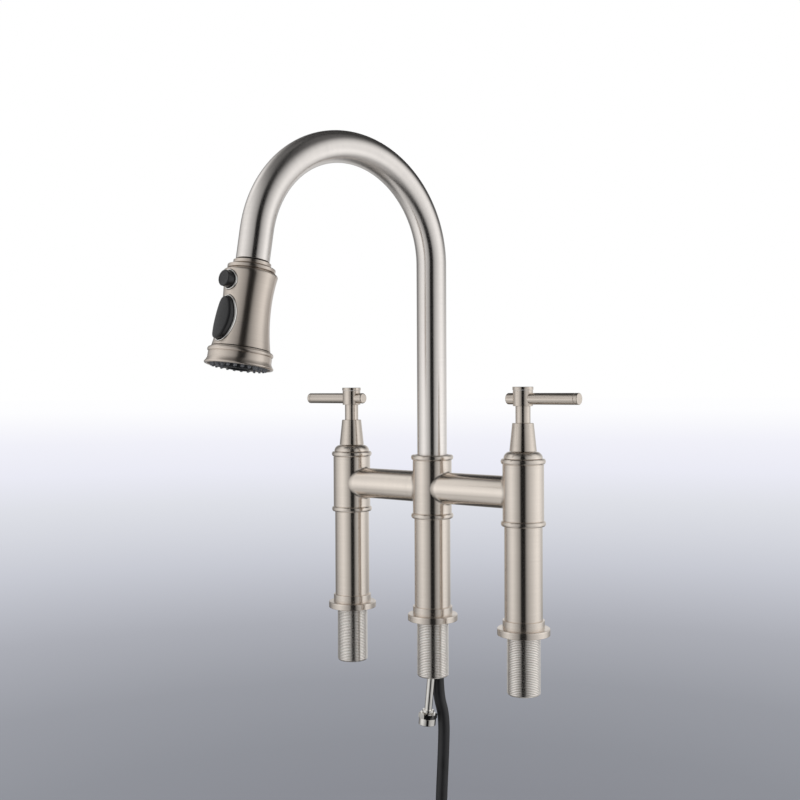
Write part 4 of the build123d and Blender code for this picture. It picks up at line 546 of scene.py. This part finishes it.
def socket_screw(name, origin, axis, body):
    """Black M4 socket set screw with its end face at a point, in millimetres."""
    where = place(Vector(origin) / 1000, axis, (0, 0, 1))
    points = [where @ (Vector((0, 0, -2.0)) / 1000)]
    faces, uvs = [], []
    profile = [(0.98, -1.2, 1), (1.0, 0.0, 1), (1.06, 0.05, 0), (1.7, 0.05, 0), (1.88, -0.12, 0),
               (1.9, -1.5, 0)]
    for r, z, six in profile:
        for i in range(48):
            t = 2 * math.pi * i / 48
            hexed = r / math.cos((t + math.pi / 6) % (math.pi / 3) - math.pi / 6) if six else r
            at = Vector((hexed * math.cos(t), hexed * math.sin(t), z)) / 1000
            points.append(where @ at)
    for i in range(48):
        j = (i + 1) % 48
        faces.append((0, 1 + j, 1 + i))
        uvs.append([(0, 0), (0.001, 0), (0, 0.001)])
        for k in range(len(profile) - 1):
            a = 1 + k * 48
            faces.append((a + i, a + j, a + 48 + j, a + 48 + i))
            uvs.append([(i * 0.0002, k * 0.001), ((i + 1) * 0.0002, k * 0.001),
                        ((i + 1) * 0.0002, (k + 1) * 0.001), (i * 0.0002, (k + 1) * 0.001)])
    screw = shaped(name, points, faces, screw_black, uvs)
    screw.data.set_sharp_from_angle(angle=math.radians(30))
    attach(screw, body)


screw_black = brushed("blackened_steel", (0.10, 0.10, 0.105), 0.38)
# a shaded copy of the nickel: the handles' plate is painted darker than the bodies'
handle_plate = brushed("handle_nickel", (0.72, 0.648, 0.578), 0.22)
for name, side in (("left", -1), ("right", 1)):
    x = side * SPREAD
    upright = Matrix.Translation((x / 1000, 0, 0))
    bar = place((x / 1000, 0, 0.2093), (side, 0, 0), (0, 0, 1))
    made = [
        (turned(f"{name}_handle_taper", [
            (8.0, 165.0), (8.0, 162.9), (12.15, 162.9, 0.25), (9.55, 187.8, 0.35), (6.0, 187.8),
            (6.0, 187.0)],
            handle_plate, upright), f"{name}_handle_cone"),
        (turned(f"{name}_handle_stem", [
            (6.2, 187.0), (6.65, 187.0), (6.65, 202.85, 0.2), (8.9, 202.85, 0.4), (8.9, 216.95, 0.15),
            (8.0, 216.95)],
            handle_plate, upright), f"{name}_handle_post"),
        (turned(f"{name}_handle_bar", [
            (0, -16.0), (5.15, -16.0, 1.3), (5.15, 53.2, 0.25), (4.3, 53.2)],
            handle_plate, bar, 96), f"{name}_lever"),
        (turned(f"{name}_bar_plug", [
            (4.3, 53.35), (5.15, 53.35, 0.25), (5.15, 57.0, 0.7), (0, 57.0)],
            handle_plate, bar, 96), f"{name}_handle_caps"),
        (turned(f"{name}_hub_cap", [
            (8.2, 217.1), (9.3, 217.1, 0.25), (9.3, 220.0, 0.45), (0, 220.0)],
            handle_plate, upright), f"{name}_handle_caps"),
    ]
    for piece, node in made:
        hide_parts(node)
        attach(piece, f"{name}_handle")
    socket_screw(f"{name}_handle_screw", (x, 11.25, 168.9), (0, 1, 0), f"{name}_handle")
    dress(brass, f"{name}_spindle")

# ---- spout -----------------------------------------------------------------------------------
# A 28 mm drawn brass tube, bent on a mandrel, plated and brushed round on a belt. It turns in
# the centre body on a hidden journal, and its end is cut square and eased where the head docks.


def piped(name, stations, across, material, steps):
    """Round piece along (point, direction, radius) stations, in metres."""
    points, faces, uvs = [], [], []
    girth = max(r for _, _, r in stations) * 2 * math.pi / steps
    for centre, way, r in stations:
        side = (across - way * way.dot(across)).normalized()
        other = way.cross(side)
        for t in (2 * math.pi * i / steps for i in range(steps)):
            points.append(centre + (side * math.cos(t) + other * math.sin(t)) * r)
    reach = 0
    for k in range(len(stations) - 1):
        here, there = stations[k], stations[k + 1]
        on = reach + (there[0] - here[0]).length + abs(there[2] - here[2])
        for i in range(steps):
            j = (i + 1) % steps
            faces.append((k * steps + i, k * steps + j, (k + 1) * steps + j, (k + 1) * steps + i))
            uvs.append([(i * girth, reach), ((i + 1) * girth, reach), ((i + 1) * girth, on), (i * girth, on)])
        reach = on
    piece = shaped(name, points, faces, material, uvs)
    piece.data.set_sharp_from_angle(angle=math.radians(40))
    return piece


UP = Vector((0, 0, 1))
swing = math.radians(-90 - 10.5)
OUT = Vector((math.cos(swing), math.sin(swing), 0))
TUBE_R, BEND_R, BEND_Z, SWEEP, EASE = 0.0140, 0.0978, 0.3344, 170.8, 0.0004
stations = [(UP * z, UP, TUBE_R) for z in (0.1475, 0.18, 0.25, 0.32, 0.333)]
for k in range(121):
    t = math.radians(SWEEP * k / 120)
    bent = OUT * BEND_R * (1 - math.cos(t)) + UP * (BEND_Z + BEND_R * math.sin(t))
    stations.append((bent, OUT * math.sin(t) + UP * math.cos(t), TUBE_R))
arc_end, DOWN = stations[-1][0], stations[-1][1]
LIP = arc_end + DOWN * 0.0256
stations += [(arc_end + DOWN * d, DOWN, TUBE_R) for d in (0.001, 0.012, 0.0241, 0.0248)]
stations += [(LIP - DOWN * EASE * (1 - math.sin(a)), DOWN, TUBE_R - EASE * (1 - math.cos(a)))
             for a in (0, 0.4, 0.8, 1.2, 1.57)]
stations += [(LIP, DOWN, 0.0134), (LIP, DOWN, 0.0130)]
stations += [(LIP - DOWN * 0.0002, DOWN, 0.0126), (LIP - DOWN * 0.012, DOWN, 0.0125)]
# a lit copy of the nickel: the spout's plate is painted paler than the bodies'
spout_plate = brushed("spout_nickel", (0.90, 0.854, 0.816), 0.24)
spout = piped("spout_gooseneck", stations, OUT.cross(UP), spout_plate, 160)
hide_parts("spout_tube")
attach(spout, "spout")
dress(brass, "spout_journal")
acetal = moulded("grey_acetal", (0.07, 0.072, 0.075), 0.42, 1800)
dress(acetal, "spout_bushes", "docking_sleeve")
socket_screw("spout_stop_screw", (0, 17.2, 144.0), (0, 1, 0), "faucet_body")

# ---- spray head ---------------------------------------------------------------------------------
# A plated head that docks under the spout: a ringed neck, a waisted shell and a flared skirt.
# They are turned brass shells round an acetal core, brushed round and a little more satin.

HEAD = place(LIP + DOWN * 0.0003, DOWN, OUT) @ Matrix.Rotation(math.radians(-7.0), 4, "Z")
# a shaded copy of the nickel: the head's plate is painted darker than the bodies'
head_plate = brushed("head_nickel", (0.725, 0.646, 0.573), 0.3)
WAIST, SHOULDER, TAIL = (20.15, 36.0), (22.3, 11.8), (24.2, 73.6)
BUTTON_AT, BUTTON_R, PAD_AT = 20.2, 6.7, 52.0


def waisted(s):
    """Radius of the shell at a distance down the head, on the arcs either side of its waist."""
    far_end = SHOULDER if s < WAIST[1] else TAIL
    grow, span = far_end[0] - WAIST[0], abs(far_end[1] - WAIST[1])
    bend = (grow * grow + span * span) / (2 * grow)
    return WAIST[0] + bend - math.sqrt(bend * bend - (s - WAIST[1]) ** 2)


def circle(grow):
    """Outline of the button, grown outwards: (down, aside) pairs round it."""
    turns = (2 * math.pi * i / 64 for i in range(64))
    return [((BUTTON_R + grow) * math.cos(t), (BUTTON_R + grow) * math.sin(t)) for t in turns]


def oval(grow):
    """Outline of the pad, grown outwards: two wide arcs and two tight ones that run into them."""
    end_at, half, end_r = 10.8, 9.3, 7.0
    side_r = (end_at**2 + half**2 - end_r**2) / (2 * (half - end_r))
    lean = math.pi / 2 - math.atan2(end_at, side_r - half)
    arcs = ((end_at, 0, end_r, -lean, lean), (0, half - side_r, side_r, lean, math.pi - lean))
    pairs = []
    for sign in (1, -1):
        for s, w, r, first, last in arcs:
            for t in (first + (last - first) * i / 20 for i in range(20)):
                pairs.append((sign * (s + (r + grow) * math.cos(t)), sign * (w + (r + grow) * math.sin(t))))
    return pairs


def faced(s):
    """Radius of the pad's hollow face at a distance down the head, prouder at its lower end."""
    t = (s - PAD_AT) / 18.75
    return 25.6 + 2.3 * t + 0.8 * t * t


def on_surface(name, at, outline, surface, profile, material, node, body="spray_head"):
    """Piece that follows a round surface: (growth, height above it, scale) rows of an outline."""
    points, faces, uvs = [], [], []
    for grow, height, scale in profile:
        for s, w in outline(grow):
            down, aside = at + s * scale, w * scale
            lift = surface(min(down, 73.0)) + height
            points.append(HEAD @ (Vector((math.sqrt(lift**2 - aside**2), aside, down)) / 1000))
    n = len(points) // len(profile)
    for k in range(len(profile) - 1):
        for i in range(n):
            j = (i + 1) % n
            faces.append((k * n + i, k * n + j, (k + 1) * n + j, (k + 1) * n + i))
            uvs.append([(i * 0.0005, k * 0.0005), ((i + 1) * 0.0005, k * 0.0005),
                        ((i + 1) * 0.0005, (k + 1) * 0.0005), (i * 0.0005, (k + 1) * 0.0005)])
    piece = shaped(name, points, faces, material, uvs)
    piece.data.set_sharp_from_angle(angle=math.radians(50))
    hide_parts(node)
    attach(piece, body)
    return piece


neck = turned("spray_neck_rings", [
    (10.5, 1.1), (15.6, 1.1, 0.1), (15.6, 3.85, 0.2), (13.2, 3.95, 0.05), (13.2, 5.15, 0.05),
    (19.8, 5.2, 0.8), (19.8, 8.35, 0.7), (17.2, 8.45, 0.05), (17.2, 9.25)], head_plate, HEAD, 160)
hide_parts("spray_neck")
rise = [(19.2 + 3.1 * math.sin(t), 11.8 - 2.5 * math.cos(t))
        for t in (math.radians(a) for a in (20, 35, 50, 65, 78, 90))]
stops = (14, 16, 18.5, 21, 24, 27, 30, 33, 36, 39, 42, 45, 48, 51, 54, 57, 60, 63, 66, 69, 71, 73.2)
side = [(waisted(s), s) for s in stops]
shell = turned("spray_shell_skin", [
    (17.5, 10.4), (17.5, 9.3), (19.2, 9.3), *rise, *side, (24.2, 73.5, 0.2), (22.6, 73.5), (22.5, 71.0),
    (18.55, 36.0), (20.5, 12.2), (17.5, 10.4)],
    head_plate, HEAD, 160)
for at, outline, grow in ((BUTTON_AT, circle, 1.9), (PAD_AT, oval, 2.0)):
    edge = outline(grow)
    n = len(edge)
    prism = [HEAD @ (Vector((x, w, at + s)) / 1000) for x in (10.0, 34.0) for s, w in edge]
    ends = [tuple(range(n)), tuple(range(2 * n - 1, n - 1, -1))]
    sides = [(i, n + i, n + (i + 1) % n, (i + 1) % n) for i in range(n)]
    cutter = shaped("cutter", prism, ends + sides, head_plate)
    cut = shell.modifiers.new("cut", "BOOLEAN")
    cut.object = cutter
    cut.solver = "EXACT"
    bpy.context.view_layer.update()
    opened = bpy.data.meshes.new_from_object(shell.evaluated_get(bpy.context.evaluated_depsgraph_get()))
    shell.modifiers.clear()
    shell.data = opened
    bpy.data.objects.remove(cutter)
shell.data.set_sharp_from_angle(angle=math.radians(40))
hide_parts("spray_shell")
bead = [(25.4 + 1.4 * math.sin(t) + 0.4 * t / math.pi, 74.8 + 3.7 * (1 - math.cos(t)) / 2)
        for t in half_turn]
flare = [(26.2 + 2.2 * (k / 8) ** 1.55, 83.0 + 4.3 * k / 8) for k in range(9)]
skirt = turned("spray_skirt_rim", [
    (22.0, 74.3), (24.9, 74.3, 0.2), (24.9, 74.8), *bead, (25.75, 78.5), (25.75, 79.35), (26.2, 79.4, 0.1),
    *flare, (28.4, 87.6, 0.2), (28.2, 88.2), (27.7, 88.55), (27.2, 88.6), (25.7, 88.6, 0.3), (25.7, 84.0)],
    head_plate, HEAD, 192)
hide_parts("spray_skirt")
for piece in (neck, shell, skirt):
    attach(piece, "spray_head")
dress(acetal, "spray_core")

# ---- controls on the spray head -----------------------------------------------------------------
# A round push button and a rocking oval pad, moulded in black satin plastic. Each stands in a
# thin plated bezel pressed into the shell.

black = moulded("black_plastic", (0.012, 0.012, 0.013), 0.27, 2600, bump=0.08)
rim = [(0.0, -2.4), (0.0, 0.45), (0.08, 0.7), (0.22, 0.88), (0.4, 0.97), (0.6, 0.97), (0.78, 0.88),
       (0.92, 0.7), (1.0, 0.45), (1.0, -1.2)]
# painted highlight: the bezels' plate is a near-white copy of the nickel, paler than the shell around it
bezel_plate = brushed("bezel_nickel", (0.98, 0.96, 0.93), 0.15)
for name, at, outline, gap in (("button", BUTTON_AT, circle, 0.5), ("pad", PAD_AT, oval, 0.6)):
    rows = [(gap + w, h, 1) for w, h in rim]
    ring = on_surface(f"{name}_bezel", at, outline, waisted, rows, bezel_plate, "control_bezels")
top = [(-1.9, 0.0, scale) for scale in (1, 0.97, 0.8, 0.6, 0.4, 0.2, 0.02)]
pad = on_surface("rocking_pad", PAD_AT, oval, faced, [
    (0, -7.6, 1), (0, -1.5, 1), (-0.1, -1.05, 1), (-0.35, -0.66, 1), (-1.3, -0.14, 1),
    (-1.6, -0.03, 1), *top], black, "oval_pad", "oval_pad")
press = place(HEAD @ Vector((0, 0, BUTTON_AT / 1000)), HEAD.col[0].to_3d(), DOWN)
button = turned("push_button", [
    (BUTTON_R, 16.0), (BUTTON_R, 27.25, 0.8), (5.1, 27.25, 0.3), (4.8, 27.1, 0.3), (0, 27.05)],
    black, press, 96)
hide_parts("round_button")
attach(button, "round_button")
dress(machined("spring_steel", (0.55, 0.55, 0.56), 0.3), "button_spring")

# ---- spray face ------------------------------------------------------------------------------------
# A dark satin disc with two rings of dark grey silicone nozzles, and a raised insert in the
# middle for the aerated stream. It is screwed on from inside.

face_paint = moulded("face_plastic", (0.03, 0.031, 0.033), 0.32, 1500)
face = turned("spray_face", [
    (25.5, 84.0), (25.5, 87.6, 0.3), (11.5, 87.6, 0.15), (11.5, 90.6, 0.4), (9.5, 90.6, 0.4),
    (9.5, 86.8, 0.2), (2.0, 86.8, 0.1), (1.6, 87.5, 0.4), (0, 87.5)], face_paint, HEAD, 128)
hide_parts("face_plate")
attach(face, "spray_head")
silicone = moulded("nozzle_rubber", (0.2, 0.205, 0.21), 0.34, 2200, sheen=0.2)
nubs = []
for ring, count in ((22.4, 24), (17.2, 18)):
    for i in range(count):
        t = 2 * math.pi * i / count
        at = HEAD @ Matrix.Translation((ring * math.cos(t) / 1000, ring * math.sin(t) / 1000, 0))
        nubs.append(turned("nub", [
            (1.6, 87.62), (1.3, 87.8, 0.15), (1.0, 90.1, 0.3), (0.45, 90.1, 0.08), (0.4, 89.4), (0, 89.3)],
            silicone, at, 20))
holes = []
for i in range(12):
    t = 2 * math.pi * i / 12
    at = HEAD @ Matrix.Translation((5.9 * math.cos(t) / 1000, 5.9 * math.sin(t) / 1000, 0))
    holes.append(turned("hole", [
        (1.15, 86.83), (0.9, 86.9, 0.05), (0.82, 86.86), (0.6, 86.81), (0, 86.8)], face_paint, at, 20))


def joined(name, pieces):
    """One object made of several."""
    whole = bmesh.new()
    for piece in pieces:
        whole.from_mesh(piece.data)
    target = pieces[0]
    whole.to_mesh(target.data)
    target.name = target.data.name = name
    for piece in pieces[1:]:
        bpy.data.objects.remove(piece)
    return target


nozzles = joined("spray_nozzle_tips", nubs)
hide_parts("spray_nozzles")
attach(nozzles, "spray_head")
sieve = joined("aerator_holes", holes)
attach(sieve, "spray_head")

# ---- hose ---------------------------------------------------------------------------------------------
# A braided hose in a smooth black sheath, 11 mm thick and about 1.5 m long. It runs from the head
# through spout and column, and hangs below the deck in a tied coil that ends in its connector.

HANG, HOSE_R = math.radians(39.2), 0.0055


def hung(across, front, height):
    """Point under the deck, in metres: across the hanging plane, in front of it, and its height."""
    x = math.cos(HANG) * across + math.sin(HANG) * front
    y = math.sin(HANG) * across - math.cos(HANG) * front
    return Vector((x, y, height)) / 1000


sheath, tree = new_material("black_hose")
body = link("ShaderNodeTexCoord", tree).outputs["Object"]
weave = link("ShaderNodeTexVoronoi", tree, Vector=body, Scale=900.0, feature="SMOOTH_F1").outputs["Distance"]
drift = link("ShaderNodeTexNoise", tree, Vector=body, Scale=45.0, Detail=3.0).outputs["Fac"]
paint = ramp(tree, drift, [(0.3, (0.012, 0.012, 0.013)), (0.75, (0.022, 0.022, 0.024))])
matt = link("ShaderNodeMapRange", tree, Value=drift, From_Min=0.3, From_Max=0.7, To_Min=0.3, To_Max=0.42)
skin = link("ShaderNodeBump", tree, Strength=0.12, Distance=0.0002, Height=weave)
shader = link("ShaderNodeBsdfPrincipled", tree, Base_Color=paint, Roughness=matt.outputs["Result"],
              Normal=skin.outputs[0])
link("ShaderNodeOutputMaterial", tree, Surface=shader.outputs[0])

FREE = ((5, SHANK_END), (5, -72), (10.9, -93), (9.7, -131), (7.3, -180), (7.3, -240.5))
route = [hung(across, -4, z) for across, z in FREE]
COIL_R, COIL_PITCH, COIL_TURNS, PER_TURN = 55.0, 13.0, 1.75, 16
hub = route[-1] * 1000 - Vector((COIL_R, 0, 11.0))
for i in range(int(COIL_TURNS * PER_TURN) + 1):
    t = -2 * math.pi * i / PER_TURN
    spoke = Vector((math.cos(t), 0, math.sin(t))) * COIL_R * 1.008
    route.append((hub + spoke - Vector((0, COIL_PITCH * i / PER_TURN, 0))) / 1000)
coil_end = (hub + Vector((0, -COIL_TURNS * COIL_PITCH, COIL_R))) / 1000
route += [coil_end + Vector((0.0055, 0, 0)), coil_end + Vector((0.0115, 0, 0))]
curve = bpy.data.curves.new("hanging_hose", "CURVE")
curve.dimensions = "3D"
curve.bevel_depth = HOSE_R
curve.bevel_resolution = 8
curve.resolution_u = 10
curve.use_fill_caps = True
spline = curve.splines.new("NURBS")
spline.points.add(len(route) - 1)
for point, at in zip(spline.points, route):
    point.co = (*at, 1)
spline.order_u = 3
spline.use_endpoint_u = True
curve.materials.append(sheath)
hose = bpy.data.objects.new("hanging_hose", curve)
bpy.context.scene.collection.objects.link(hose)

tip = place(coil_end + Vector((0.011, 0, 0)), (1, 0, 0), (0, 0, 1))
crimped = brushed("connector_nickel", (0.72, 0.70, 0.66), 0.28)
grooves = [(6.3 - 0.35 * (k % 2), 2.2 + 1.1 * k, 0.15) for k in range(9)]
connector = turned("hose_connector_end", [
    (5.0, 0.1), (6.3, 0.1, 0.3), *grooves, (6.3, 13.9, 0.2), (7.0, 14.0, 0.2), (7.0, 17.5, 0.15),
    (6.2, 17.7, 0.15), (6.2, 19.3, 0.15), (7.0, 19.5, 0.15), (7.0, 25.0, 0.5), (4.0, 25.0, 0.2),
    (4.0, 15.0)], crimped, tip, 96)
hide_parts("hose_connector")
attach(connector, "faucet_body")
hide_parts("hose_free", "hose_coil")
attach(hose, "faucet_body")
dress(sheath, "hose_lower", "hose_upper")

# the stretch in the spout's end, which is drawn out as far as the head is pulled
drawn_from, drawn_to = arc_end + DOWN * 0.003, arc_end + DOWN * 0.0139
stations = [(drawn_from.lerp(drawn_to, k / 60), DOWN, HOSE_R) for k in range(61)]
drawn = piped("drawn_hose", stations, OUT.cross(UP), sheath, 48)
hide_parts("hose_pull")
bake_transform(drawn)
dress(machined("swivel_nickel", (0.72, 0.70, 0.66), 0.3), "hose_swivel")
dress(black, "coil_ties")

# ---- mixed-water outlet --------------------------------------------------------------------------------
# A thin polished copper tube, plated, comes down beside the hose. Its collar carries a loose
# union nut with a hexagon above and a round skirt below.

polished, tree = new_material("polished_nickel")
body = link("ShaderNodeTexCoord", tree).outputs["Object"]
painted_glow_and_haze = link("ShaderNodeTexNoise", tree, Vector=body, Scale=220.0, Detail=4.0).outputs["Fac"]
paint = ramp(tree, painted_glow_and_haze, [(0.3, (0.88, 0.85, 0.81)), (0.7, (0.95, 0.93, 0.89))])
gloss = link("ShaderNodeMapRange", tree, Value=painted_glow_and_haze, From_Min=0.3, From_Max=0.7, To_Min=0.06, To_Max=0.13)
ripple = link("ShaderNodeBump", tree, Strength=0.05, Distance=0.0001, Height=painted_glow_and_haze)
shader = link("ShaderNodeBsdfPrincipled", tree, Base_Color=paint, Metallic=1.0,
              Roughness=gloss.outputs["Result"], Normal=ripple.outputs[0])
link("ShaderNodeOutputMaterial", tree, Surface=shader.outputs[0])

lean = math.radians(5.2)
ACROSS = Vector((math.cos(HANG), math.sin(HANG), 0))
FRONT = Vector((math.sin(HANG), -math.cos(HANG), 0))
WAY = ACROSS * -math.sin(lean) - UP * math.cos(lean)
low = hung(0.27, 4, -30)
out = low + WAY * ((low.z - SHANK_END / 1000) / math.cos(lean))
end = place(out, WAY, FRONT)
bend = [hung(0, 10.5, 80), hung(0.05, 9.8, 60), hung(0.12, 8.4, 35), hung(0.2, 6.4, 5),
        hung(0.25, 4.9, -18)]
path = [(a, (b - a).normalized(), 0.0036) for a, b in zip(bend, bend[1:] + [low])]
path += [(out + WAY * d, WAY, 0.0036) for d in (-0.02, 0, 0.01, 0.02, 0.0378)]
tube = piped("outlet_pipe", path, FRONT, polished, 64)
collar = turned("outlet_collar", [
    (3.6, 31.4), (5.6, 31.4, 0.5), (5.6, 33.9, 0.5), (3.6, 33.9)], polished, end, 64)
flange = turned("outlet_flange", [
    (2.9, 36.0), (2.9, 39.6, 0.1), (6.1, 39.6, 0.2), (6.1, 37.6, 0.2), (3.6, 37.6)], polished, end, 64)
for piece in (tube, collar, flange):
    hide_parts("outlet_tube")
    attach(piece, "faucet_body")

# union nut: a hexagon with chamfered corners, then the round skirt
rows = [
    (3.95, 37.2, 0), (3.95, 34.2, 0), (7.2, 34.2, 1), (8.95, 35.1, 1), (8.95, 38.9, 1), (8.0, 39.3, 1),
    (8.0, 39.5, 0), (8.0, 45.2, 0), (7.6, 45.6, 0), (6.5, 45.6, 0), (6.4, 45.4, 0), (6.4, 37.3, 0),
    (3.95, 37.2, 0)]
points, faces, uvs = [], [], []
for r, z, six in rows:
    for i in range(96):
        t = 2 * math.pi * i / 96
        flat = 7.7 / math.cos((t + math.pi / 6 + 0.06) % (math.pi / 3) - math.pi / 6)
        reach = min(r, flat) if six else r
        points.append(end @ (Vector((reach * math.cos(t), reach * math.sin(t), z)) / 1000))
for k in range(len(rows) - 1):
    for i in range(96):
        j = (i + 1) % 96
        faces.append((k * 96 + i, k * 96 + j, (k + 1) * 96 + j, (k + 1) * 96 + i))
        uvs.append([(i * 0.0005, k * 0.001), ((i + 1) * 0.0005, k * 0.001),
                    ((i + 1) * 0.0005, (k + 1) * 0.001), (i * 0.0005, (k + 1) * 0.001)])
nut = shaped("outlet_union_nut", points, faces, polished, uvs)
nut.data.set_sharp_from_angle(angle=math.radians(25))
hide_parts("outlet_nut")
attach(nut, "outlet_nut")
